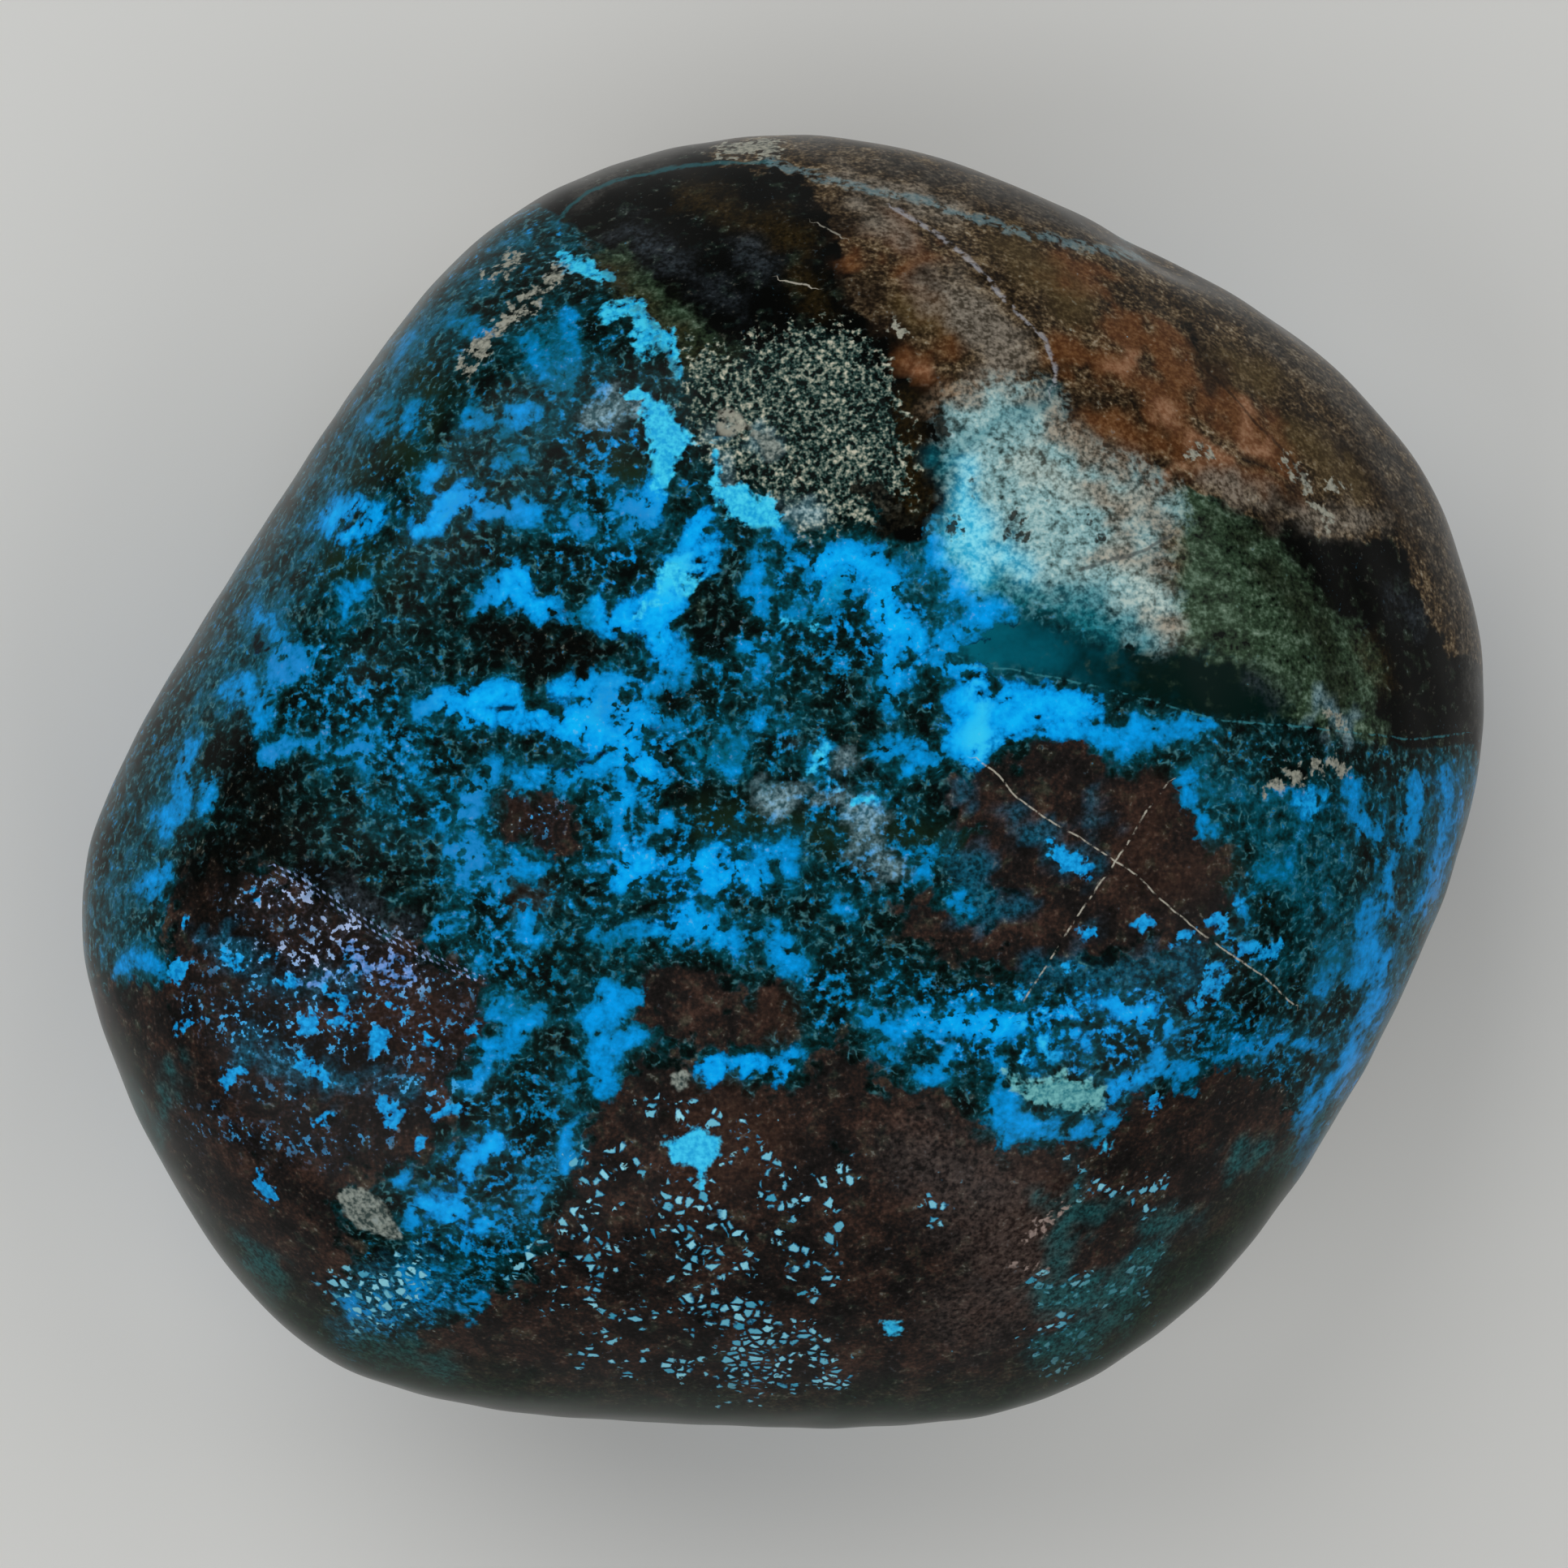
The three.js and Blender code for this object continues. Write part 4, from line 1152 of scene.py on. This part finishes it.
def addNode(tree, kind, values=None, **settings):
    node = tree.nodes.new(kind)
    for name, setting in settings.items():
        setattr(node, name, setting)
    for name, value in (values or {}).items():
        plug(tree, node.inputs[name], value)
    return node


def calc(tree, operation, *values):
    return addNode(tree, "ShaderNodeMath", dict(enumerate(values)), operation=operation).outputs[0]


def vectorCalc(tree, operation, first, second):
    return addNode(tree, "ShaderNodeVectorMath", {0: first, 1: second}, operation=operation).outputs[0]


def fade(tree, value, low, high, start=0.0, end=1.0):
    values = {"Value": value, "From Min": low, "From Max": high, "To Min": start, "To Max": end}
    return addNode(tree, "ShaderNodeMapRange", values, interpolation_type="SMOOTHSTEP").outputs[0]


def blend(tree, factor, under, over):
    return addNode(tree, "ShaderNodeMix", {0: factor, 6: under, 7: over}, data_type="RGBA").outputs[2]


def ramp(tree, value, *stops):
    node = addNode(tree, "ShaderNodeValToRGB", {"Fac": value})
    points = node.color_ramp.elements
    while len(points) < len(stops):
        points.new(0.5)
    for point, (place, colour) in zip(points, stops):
        point.position = place
        point.color = colours[colour]
    return node.outputs["Color"]


def noise(tree, vector, scale, detail, roughness):
    # about -1 to 1: (noise - 0.5) * 5
    values = {"Vector": vector, "Scale": scale, "Detail": detail, "Roughness": roughness}
    node = addNode(tree, "ShaderNodeTexNoise", values)
    return calc(tree, "MULTIPLY_ADD", node.outputs["Fac"], 5.0, -2.5)


def spot(tree, name):
    return addNode(tree, "ShaderNodeAttribute", attribute_name=name).outputs["Vector"]


def field(tree, name):
    attribute, axis = fieldPlaces[name]
    return addNode(tree, "ShaderNodeSeparateXYZ", {0: spot(tree, attribute)}).outputs[axis]


def rgb(red, green, blue):
    # a screen colour, 0 to 255, as linear light
    screen = np.array([red, green, blue]) / 255.0
    linear = np.where(screen <= 0.04045, screen / 12.92, ((screen + 0.055) / 1.055) ** 2.4)
    return (*linear.tolist(), 1.0)


screenColours = {            # red, green and blue, 0 to 255
    "groundBlack": (5, 10, 9), "ground": (7, 26, 24), "green": (26, 46, 30),
    "tealDark": (6, 50, 56), "teal": (8, 78, 94), "tealBlue": (8, 98, 134), "wispBlue": (50, 134, 176),
    "grainGrey": (92, 124, 120), "wisp": (78, 138, 146), "wispAzure": (30, 156, 216),
    "chipDark": (8, 126, 194), "chip": (24, 168, 238), "cyanChipDark": (28, 166, 224),
    "cyanChip": (66, 208, 244), "blushDark": (84, 66, 60), "blush": (160, 142, 134),
    "deepBlue": (2, 50, 66), "blueMid": (4, 108, 168), "azureDim": (5, 126, 190),
    "azure": (5, 154, 234), "azureBright": (12, 180, 250), "cyan": (56, 204, 244),
    "lavender": (46, 118, 178), "tealTone": (4, 88, 106),
    "maroon": (42, 32, 28), "maroonRed": (70, 50, 42), "maroonGrey": (28, 25, 24),
    # the paler maroon pair: colours of the painted sheen at the front
    "maroonDark": (18, 17, 16), "frontSheenDark": (34, 30, 29), "frontSheen": (84, 74, 70), "redDark": (44, 30, 25),
    "red": (68, 48, 38),
    "veilDark": (10, 44, 54), "veil": (20, 98, 126),
    "tealSoftDark": (12, 52, 54), "tealSoft": (32, 108, 112),
    # colours of the painted shade along the front edge
    "limbShadeDark": (4, 20, 12), "limbShade": (14, 44, 26),
    "brownBlack": (24, 18, 12), "brownDark": (48, 38, 25), "brown": (76, 62, 44), "tan": (110, 94, 70),
    "brownPale": (150, 138, 118),
    "rustDark": (82, 48, 24), "rust": (112, 74, 43), "pinkDark": (130, 88, 60), "pink": (160, 122, 94),
    "ochreDark": (66, 52, 28), "ochre": (90, 76, 48), "capGreyDark": (72, 66, 56),
    "capGrey": (142, 134, 122), "shadeDark": (22, 17, 12), "shade": (44, 34, 24),
    # colours of the painted reflection along the back edge
    "rimSheenDark": (54, 54, 52), "rim": (88, 86, 82),
    "black": (4, 5, 4), "blackWarm": (12, 11, 8), "blackLight": (28, 26, 19),
    # the slate pair: colours of the painted reflection on the dark stone
    "oliveDark": (30, 24, 10), "olive": (66, 52, 24), "slateSheenDark": (26, 31, 34), "slateSheen": (70, 80, 88),
    "moss": (50, 70, 51), "mossDark": (9, 15, 10), "mossPale": (104, 128, 108),
    "mossWhite": (150, 166, 152), "mossShadeDark": (12, 16, 10), "mossShade": (34, 42, 26),
    "bandLight": (4, 92, 110), "bandDark": (1, 22, 18),
    "paleDark": (38, 54, 54), "paleGrey": (92, 122, 122), "paleBlue": (132, 172, 176),
    "paleLight": (180, 206, 202),
    "creamDark": (112, 114, 102), "creamPale": (198, 200, 186), "crustTealDark": (8, 84, 98),
    "crustTeal": (34, 132, 146), "crustBrownDark": (60, 50, 38), "crustBrown": (146, 122, 98),
    "cyanDark": (46, 180, 224), "cyanPale": (120, 222, 246),
    "speckleDark": (8, 14, 12), "speckleTeal": (28, 54, 50), "speckleGrey": (76, 92, 84),
    "specklePale": (136, 142, 126), "speckleCream": (192, 188, 168),
    "quartz": (150, 184, 194), "quartzDark": (60, 96, 106),
    "netEdge": (20, 116, 158), "netPale": (146, 216, 232), "netDim": (62, 154, 184),
    # the pale fleck colour and the lilac: colours of the painted highlight at the lower left
    "fleck": (60, 164, 226), "fleckSheenPale": (176, 196, 236), "lilacSheen": (112, 150, 214),
    "glint": (176, 190, 184), "glintTan": (118, 110, 92), "glintGrey": (100, 112, 116),
    "glintBlue": (70, 150, 180),
    "leafDark": (56, 70, 68), "leaf": (142, 150, 142),
    "featherDark": (78, 84, 78), "feather": (158, 158, 144), "cellDark": (52, 130, 142),
    "cell": (116, 186, 188),
    "crack": (176, 172, 158), "star": (64, 206, 250), "starDark": (36, 170, 228),
    "creaseGrey": (60, 66, 66), "lineCyan": (56, 134, 146),
    "lineBlue": (120, 160, 170), "lineLilac": (168, 170, 178), "lineBrown": (48, 38, 26),
    # the last colour is the painted highlight along the ridge
    "lineTeal": (28, 90, 98), "ridgeHighlight": (150, 176, 226),
}
colours = {name: rgb(*screen) for name, screen in screenColours.items()}


# Finish of the stone

grains = {                   # coordinates, patches to the mm, octaves past the first, how rough
    "middle": ("swirl", 0.6, 1, 0.5),
    "edge": ("ripple", 1.3, 3, 0.52),
    "crust": ("ripple", 2.6, 2, 0.6),
    "fine": ("place", 5.4, 1, 0.55),
    "cloud": ("swirl", 0.7, 3, 0.66),
    "curl": ("ripple", 1.7, 1, 0.5),
    "streaks": ("drawn", 0.9, 3, 0.7),
}

edges = {                    # zones: noise that breaks the edge, how far it reaches, softness, growth
    "maroon": ("edge", 0.9, 0.3, 0), "black": ("edge", 0.2, 0.12, 0.4),
    "deepTeal": ("edge", 0.5, 0.8, 0.1),
    "moss": ("edge", 0.5, 0.6, 0.3), "brown": ("edge", 0.3, 0.15, 0.2), "pale": ("crust", 0.5, 0.8, 0),
    "speckle": ("crust", 0.9, 0.3, 0),
}

streakTurn = 35.0            # degrees that the streaks in the brown and the moss are turned by
streakStretch = (0.45, 1.5, 1.0)

kinds = {                    # kinds of stone: middle tone, what each grain adds, tone of each colour
    "maroon": (0.47, {"middle": 0.12, "edge": 0.12, "fine": 0.12},
               {"maroonDark": 0.24, "maroonGrey": 0.42, "maroon": 0.54, "maroonRed": 0.76}),
    "black": (0.3, {"edge": 0.2, "fine": 0.08, "middle": 0.1},
              {"black": 0.35, "blackWarm": 0.6, "blackLight": 0.9}),
    "moss": (0.47, {"crust": 0.12, "streaks": 0.2, "fine": 0.12},
             {"mossDark": 0.22, "moss": 0.5, "mossPale": 0.8, "mossWhite": 0.98}),
    "brown": (0.4, {"streaks": 0.2, "crust": 0.2, "fine": 0.22, "middle": 0.08},
              {"brownBlack": 0.1, "brownDark": 0.34, "brown": 0.5, "tan": 0.68, "brownPale": 0.92}),
    "pale": (0.52, {"crust": 0.18, "fine": 0.17, "cloud": 0.17},
             {"paleDark": 0.16, "paleGrey": 0.36, "paleBlue": 0.56, "paleLight": 0.85}),
    "speckle": (0.47, {"fine": 0.32, "crust": 0.16, "middle": 0.1},
                {"speckleDark": 0.26, "speckleTeal": 0.42, "speckleGrey": 0.56, "specklePale": 0.74,
                 "speckleCream": 0.95}),
}
hosts = ("maroon", "black", "deepTeal", "moss", "brown")   # under the blue, each over the last
crusts = ("pale", "speckle")                               # over it

band = {"width": (6.0, 16.0), "drift": 1.6}   # mm to the right where it darkens, and how far that strays

chipSoftness, chipStrength = 0.3, 0.93
veinFade = (0.4, 1.6)        # parts of the half width between which a vein fades
veinGaps = (-1.2, -0.3)      # noise between which a broken vein comes back

net = {                      # pale cells in the front maroon
    "scale": 2.1,            # cells to the mm
    "shown": (0.46, 0.56),   # how full the field is where cells begin, and where they are whole
    "wall": (0.09, 0.2),     # parts of a cell from its wall, where it begins and is whole
    "tone": (0.12, 0.26),    # the same, where it turns from its edge colour to its own
}

dots = {                     # dashes in rows along the ridge, a painted highlight, in pixels
    "shift": 100.0,          # keeps the offset above nought
    "rows": 3.5,             # half of the way from row to row
    "dashes": 5.0,           # half of the way from dash to dash
    "slant": 0.9,
    "rowFade": (0.8, 1.8),
    "dashFade": (2.0, 3.0),
    "reach": (5.0, 9.0),     # from the ridge, where the rows begin to fade and have gone
    "strength": 0.8,
}

finish = {
    "polished": 0.22,        # roughness
    "crusty": 0.45,
    "ior": 1.5,
    "specular": 0.04,        # low, or the pale floor's reflection veils the dark stone
}


def makeBrokenEdge():
    # mask = smooth step of (field + growth + least of (noise * reach, 1 - softness)) from -softness to
    # softness, so it ends where the field does
    group = bpy.data.node_groups.new("brokenEdge", "ShaderNodeTree")
    for name in ("Field", "Noise", "Reach", "Softness", "Growth"):
        group.interface.new_socket(name=name, in_out="INPUT", socket_type="NodeSocketFloat")
    group.interface.new_socket(name="Mask", in_out="OUTPUT", socket_type="NodeSocketFloat")
    inputs = addNode(group, "NodeGroupInput").outputs
    most = calc(group, "SUBTRACT", 1.0, inputs["Softness"])
    stray = calc(group, "MINIMUM", calc(group, "MULTIPLY", inputs["Noise"], inputs["Reach"]), most)
    value = calc(group, "ADD", calc(group, "ADD", inputs["Field"], inputs["Growth"]), stray)
    low = calc(group, "MULTIPLY", inputs["Softness"], -1.0)
    outputs = addNode(group, "NodeGroupOutput").inputs
    plug(group, outputs["Mask"], fade(group, value, low, inputs["Softness"]))
    return group


def mask(tree, grain, name):
    noiseName, reachOf, softness, growth = edges[name]
    node = addNode(tree, "ShaderNodeGroup", node_tree=bpy.data.node_groups["brokenEdge"])
    values = {"Field": field(tree, name), "Noise": grain[noiseName], "Reach": reachOf, "Softness": softness,
              "Growth": growth}
    for socket, setting in values.items():
        plug(tree, node.inputs[socket], setting)
    return node.outputs["Mask"]


def makeGrains(tree):
    inMm = (1 / mm, 1 / mm, 1 / mm)
    place = vectorCalc(tree, "MULTIPLY", addNode(tree, "ShaderNodeTexCoord").outputs["Object"], inMm)
    spaces = {"place": place, "swirl": spot(tree, "swirl"), "ripple": spot(tree, "ripple")}
    turned = {"Vector": spaces["swirl"], "Rotation": (0, 0, np.radians(streakTurn)), "Scale": streakStretch}
    spaces["drawn"] = addNode(tree, "ShaderNodeMapping", turned).outputs[0]
    grain = {name: noise(tree, spaces[space], *settings) for name, (space, *settings) in grains.items()}
    grain["curl"] = calc(tree, "ABSOLUTE", grain["curl"])
    grain["grit"] = mixed(tree, 0.5, (grain["fine"], 0.5), (grain["crust"], 0.5))
    return grain, spaces


def mixed(tree, start, *parts):
    # start + sum of value * amount
    total = start
    for value, amount in parts:
        total = calc(tree, "MULTIPLY_ADD", value, amount, total)
    return total


def times(tree, *values):
    product = values[0]
    for value in values[1:]:
        product = calc(tree, "MULTIPLY", product, value)
    return product


def washed(tree, grain, base, name):
    # base * (1 - amount) + the wash, which holds its amount already
    tone = blend(tree, grain["grit"], spot(tree, name + "Low"), spot(tree, name + "High"))
    left = calc(tree, "SUBTRACT", 1.0, field(tree, name + "Amount"))
    values = {0: base, 1: left, 2: tone}
    return addNode(tree, "ShaderNodeVectorMath", values, operation="MULTIPLY_ADD").outputs[0]


def chipped(tree, grain, base, name):
    stray = times(tree, grain["crust"], field(tree, name + "Rough"))
    depth = calc(tree, "ADD", field(tree, name + "Depth"), calc(tree, "MINIMUM", stray, 1.0 - chipSoftness))
    tone = blend(tree, grain["grit"], spot(tree, name + "Low"), spot(tree, name + "High"))
    return blend(tree, fade(tree, depth, -chipSoftness, chipSoftness, 0.0, chipStrength), base, tone)


def veined(tree, grain, base, name):
    away = calc(tree, "ABSOLUTE", calc(tree, "ADD", field(tree, name + "Offset"), grain["edge"]))
    whole = calc(tree, "SUBTRACT", grain["crust"], field(tree, name + "Broken"))
    shown = times(tree, fade(tree, away, *veinFade, 1.0, 0.0), fade(tree, whole, *veinGaps),
                  field(tree, name + "Shown"))
    return blend(tree, shown, base, spot(tree, name + "Tone"))


def groundColour(tree, grain, dense, calm, near):
    # green black through teal, with grey-green grains and pale wisps curled in it
    ridge = fade(tree, grain["curl"], 0.0, 0.4, 1.0, 0.0)
    depth = mixed(tree, 0.37, (grain["cloud"], 0.14), (grain["crust"], 0.1), (grain["edge"], 0.1),
                  (ridge, 0.06), (grain["fine"], 0.05), (dense, 0.04), (calm, -0.2),
                  (field(tree, "wash"), 0.16), (near, 0.23))
    base = ramp(tree, depth, (0.2, "groundBlack"), (0.34, "ground"), (0.48, "tealDark"),
                (0.62, "teal"), (0.76, "tealBlue"), (0.92, "wispBlue"))
    green = times(tree, field(tree, "green"), fade(tree, depth, 0.3, 0.6, 0.6, 0.3))
    base = blend(tree, green, base, colours["green"])
    grey = times(tree, fade(tree, grain["crust"], 0.25, 1.0), fade(tree, grain["middle"], -0.5, 0.7),
                 fade(tree, depth, 0.3, 0.5, 0.15, 0.4))
    base = blend(tree, grey, base, colours["grainGrey"])
    wisps = times(tree, fade(tree, grain["curl"], 0.0, 0.34, 1.0, 0.0),
                  fade(tree, grain["crust"], -0.2, 0.8, 0.0, 0.6),
                  fade(tree, calm, 0.0, 1.0, 1.0, 0.3), fade(tree, dense, 0.0, 1.0, 1.0, 0.5))
    tone = calc(tree, "MULTIPLY_ADD", grain["cloud"], 0.5, near)
    tone = blend(tree, fade(tree, tone, 0.2, 0.8), colours["wisp"], colours["wispAzure"])
    return blend(tree, wisps, base, tone)


def kindColour(tree, grain, name):
    start, amounts, stops = kinds[name]
    value = mixed(tree, start, *((grain[part], amount) for part, amount in amounts.items()))
    return ramp(tree, value, *((place, colour) for colour, place in stops.items()))


def bandColour(tree, grain, place):
    across = addNode(tree, "ShaderNodeSeparateXYZ", {0: place}).outputs["X"]
    across = calc(tree, "MULTIPLY_ADD", grain["cloud"], band["drift"], across)
    return blend(tree, fade(tree, across, *band["width"]), colours["bandLight"], colours["bandDark"])


def blueLayer(tree, grain, dense, calm, quiet):
    # azure patches: their own depth, roughened, or crumbs of it scattered where the ground is
    # dense with them
    depth = field(tree, "blue")
    jitter = mixed(tree, 0.2, (dense, 0.12))
    rough = mixed(tree, 0.1, (dense, 0.08))
    outside = calc(tree, "MINIMUM", depth, 0.0)
    inner = mixed(tree, 0.54, (depth, 0.34), (outside, 0.32), (grain["cloud"], 0.09))
    patches = calc(tree, "MULTIPLY_ADD", grain["edge"], jitter, inner)
    patches = calc(tree, "MULTIPLY_ADD", grain["crust"], rough, patches)
    crumbs = mixed(tree, 0.23, (dense, 0.16), (quiet, -0.3), (calm, -0.2), (grain["edge"], 0.17),
                   (grain["crust"], 0.18), (grain["fine"], 0.08))
    shape = calc(tree, "MAXIMUM", patches, crumbs)
    inner = mixed(tree, inner, (grain["edge"], 0.1), (grain["crust"], 0.08), (grain["fine"], 0.04))
    value = calc(tree, "MAXIMUM", inner, crumbs)
    dim = ramp(tree, value, (0.36, "deepBlue"), (0.48, "tealBlue"), (0.59, "azureDim"), (0.78, "azure"))
    bright = ramp(tree, value, (0.34, "deepBlue"), (0.46, "blueMid"), (0.6, "azure"), (0.82, "azureBright"))
    base = blend(tree, field(tree, "bright"), dim, bright)
    solid = fade(tree, value, 0.5, 0.75)
    base = blend(tree, times(tree, field(tree, "lavender"), solid, 0.5), base, colours["lavender"])
    base = blend(tree, times(tree, field(tree, "cyan"), solid, 0.8), base, colours["cyan"])
    teal = times(tree, field(tree, "tealTone"), fade(tree, grain["crust"], -0.8, 0.8, 0.95, 0.5))
    base = blend(tree, teal, base, colours["tealTone"])
    return fade(tree, shape, 0.36, 0.48), base


def netLayer(tree, grain, space):
    # ragged patches cut by dark lines into cells, each lit in its own measure
    values = {"Vector": space, "Scale": net["scale"], "Randomness": 1.0}
    cells = addNode(tree, "ShaderNodeTexVoronoi", values)
    walls = addNode(tree, "ShaderNodeTexVoronoi", values, feature="DISTANCE_TO_EDGE").outputs["Distance"]
    own = addNode(tree, "ShaderNodeSeparateXYZ", {0: cells.outputs["Color"]}).outputs
    wall = mixed(tree, 0.0, (walls, 1.0), (grain["fine"], 0.04))
    patch = mixed(tree, -0.38, (field(tree, "net"), 0.92), (grain["crust"], 0.14), (grain["edge"], 0.1),
                  (own["X"], 0.65))
    shown = times(tree, fade(tree, patch, *net["shown"]), fade(tree, wall, *net["wall"]))
    tone = blend(tree, own["Y"], colours["netDim"], colours["netPale"])
    return shown, blend(tree, fade(tree, wall, *net["tone"]), colours["netEdge"], tone)


def fleckLayer(tree, grain):
    # chips where the crust stands high, denser in the middle of their field, over a faint painted sheen
    rise = mixed(tree, 0.0, (grain["crust"], 0.8), (grain["fine"], 0.4), (grain["middle"], 0.2))
    shown = mixed(tree, 0.0, (fade(tree, rise, 0.42, 0.6), 0.95), (fade(tree, rise, -0.2, 0.6), 0.05))
    shown = times(tree, field(tree, "flecksAndSheen"), shown)
    # the pale colour is the painted highlight
    return shown, blend(tree, field(tree, "fleckSheen"), colours["fleck"], colours["fleckSheenPale"])


def dottedLine(tree, grain):
    # rows of dashes side by side along the ridge: a painted highlight on its crease
    offset, away, along = (field(tree, "ridge" + part) for part in lineParts)
    rows = calc(tree, "PINGPONG", calc(tree, "ADD", offset, dots["shift"]), dots["rows"])
    slanted = calc(tree, "MULTIPLY_ADD", offset, dots["slant"], along)
    dashes = calc(tree, "PINGPONG", slanted, dots["dashes"])
    near = fade(tree, away, *dots["reach"], dots["strength"], 0.0)
    shown = fade(tree, grain["crust"], -0.8, 0.2)
    return times(tree, fade(tree, rows, *dots["rowFade"], 1.0, 0.0), fade(tree, dashes, *dots["dashFade"]),
                 near, shown)


def stoneMaterial():
    material = bpy.data.materials.new("chrysocolla")
    material.use_nodes = True
    tree = material.node_tree
    tree.nodes.clear()
    output = addNode(tree, "ShaderNodeOutputMaterial")
    shader = addNode(tree, "ShaderNodeBsdfPrincipled")
    plug(tree, output.inputs["Surface"], shader.outputs["BSDF"])
    grain, spaces = makeGrains(tree)
    dense, calm = field(tree, "dense"), field(tree, "calm")
    base = groundColour(tree, grain, dense, calm, fade(tree, field(tree, "blue"), -1.0, 0.2))

    # the darker stone that the chrysocolla grew through
    quiet, rough = 0.0, 0.0
    masks = {name: mask(tree, grain, name) for name in (*hosts, *crusts)}
    hostColours = {name: kindColour(tree, grain, name) for name in hosts if name in kinds}
    hostColours["deepTeal"] = bandColour(tree, grain, spaces["place"])
    for name in hosts:
        base = blend(tree, masks[name], base, hostColours[name])
        quiet = calc(tree, "MAXIMUM", quiet, masks[name])
    base = washed(tree, grain, base, "hostWash")

    blueMask, blueColour = blueLayer(tree, grain, dense, calm, quiet)
    base = blend(tree, blueMask, base, blueColour)
    for name in crusts:
        base = blend(tree, masks[name], base, kindColour(tree, grain, name))
        rough = calc(tree, "MAXIMUM", rough, masks[name])

    # small pale cells, chips on a painted sheen, the painted highlight dotted on the ridge, loose grains
    for shown, colour in (netLayer(tree, grain, spaces["ripple"]), fleckLayer(tree, grain)):
        base = blend(tree, shown, base, colour)
    base = blend(tree, dottedLine(tree, grain), base, colours["ridgeHighlight"])
    glints = times(tree, fade(tree, grain["fine"], 0.45, 1.0), fade(tree, grain["crust"], -0.1, 0.5),
                   fade(tree, dense, 0.0, 1.0, 0.2, 0.8), fade(tree, quiet, 0.0, 1.0, 1.0, 0.6),
                   fade(tree, blueMask, 0.0, 1.0, 1.0, 0.25),
                   fade(tree, masks["deepTeal"], 0.0, 0.6, 1.0, 0.0))
    tone = mixed(tree, 0.5, (grain["edge"], 0.3))
    glintColour = ramp(tree, tone, (0.3, "glintBlue"), (0.45, "glintGrey"), (0.6, "glintTan"),
                       (0.75, "glint"))
    base = blend(tree, glints, base, glintColour)
    base = washed(tree, grain, base, "lastWash")
    base = chipped(tree, grain, base, "lastChips")
    for name in veinSets:
        base = veined(tree, grain, base, name)

    plug(tree, shader.inputs["Base Color"], base)
    roughness = fade(tree, rough, 0.0, 1.0, finish["polished"], finish["crusty"])
    plug(tree, shader.inputs["Roughness"], roughness)
    shader.inputs["IOR"].default_value = finish["ior"]
    shader.inputs["Specular IOR Level"].default_value = finish["specular"]
    return material


makeBrokenEdge()
print("stone: shape")
points, quads, cap = stonePoints()
stone = bpy.data.objects.new("stoneSurface", makeMesh("stoneSurface", points, quads, cap))
bpy.context.scene.collection.objects.link(stone)
print("stone: marks")
writeFields(stone.data, pictureFields(points))
print("stone: finish")
stone.data.materials.append(stoneMaterial())
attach(stone, "root")
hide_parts("palm_stone")


# Floor, light and camera

stage = {
    "floorSize": 1.6,        # m
    "floorColour": rgb(212, 212, 209),
    "skyLight": 0.1,
    "skySeen": rgb(222, 222, 219),
    "lights": {              # facing and elevation in degrees, distance and size in m, watts
        "backLeft": (128, 46, 0.6, 0.5, 1.72),
        "frontLeft": (222, 44, 0.6, 0.5, 1.28),
        "frontRight": (318, 44, 0.6, 0.5, 0.94),
        "backRight": (38, 44, 0.6, 0.5, 0.94),
    },
}


def makeFloor():
    half = stage["floorSize"] / 2
    mesh = bpy.data.meshes.new("floor")
    corners = [(-half, -half, 0), (half, -half, 0), (half, half, 0), (-half, half, 0)]
    mesh.from_pydata(corners, [], [(0, 1, 2, 3)])
    floor = bpy.data.objects.new("floor", mesh)
    bpy.context.scene.collection.objects.link(floor)
    material = bpy.data.materials.new("paleFloor")
    material.use_nodes = True
    shader = material.node_tree.nodes["Principled BSDF"]
    shader.inputs["Base Color"].default_value = stage["floorColour"]
    shader.inputs["Roughness"].default_value = 0.9
    mesh.materials.append(material)


def makeLight(name, facing, elevation, distance, size, power):
    lamp = bpy.data.lights.new(name, "AREA")
    lamp.shape = "DISK"
    lamp.size = size
    lamp.energy = power
    light = bpy.data.objects.new(name, lamp)
    way = Vector(towards(facing, elevation))
    light.location = way * distance
    light.rotation_euler = way.to_track_quat("Z", "Y").to_euler()
    bpy.context.scene.collection.objects.link(light)


def makeSky():
    # dim light from all round, and a pale backdrop behind the floor for the camera alone
    world = bpy.data.worlds.new("world")
    bpy.context.scene.world = world
    world.use_nodes = True
    tree = world.node_tree
    seen = addNode(tree, "ShaderNodeLightPath").outputs["Is Camera Ray"]
    light = (stage["skyLight"], stage["skyLight"], stage["skyLight"], 1)
    plug(tree, tree.nodes["Background"].inputs["Color"], blend(tree, seen, light, stage["skySeen"]))


def makeCamera():
    lens = bpy.data.cameras.new("camera")
    lens.lens = picture["lens"]
    lens.sensor_width = picture["sensor"]
    lens.clip_start = 0.01
    camera = bpy.data.objects.new("camera", lens)
    camera.location = (0, 0, (picture["distance"] + picture["midPlane"]) * mm)
    bpy.context.scene.collection.objects.link(camera)
    bpy.context.scene.camera = camera


print("stage")
makeFloor()
for name, values in stage["lights"].items():
    makeLight(name, *values)
makeSky()
makeCamera()
bpy.context.scene.view_settings.view_transform = "Standard"
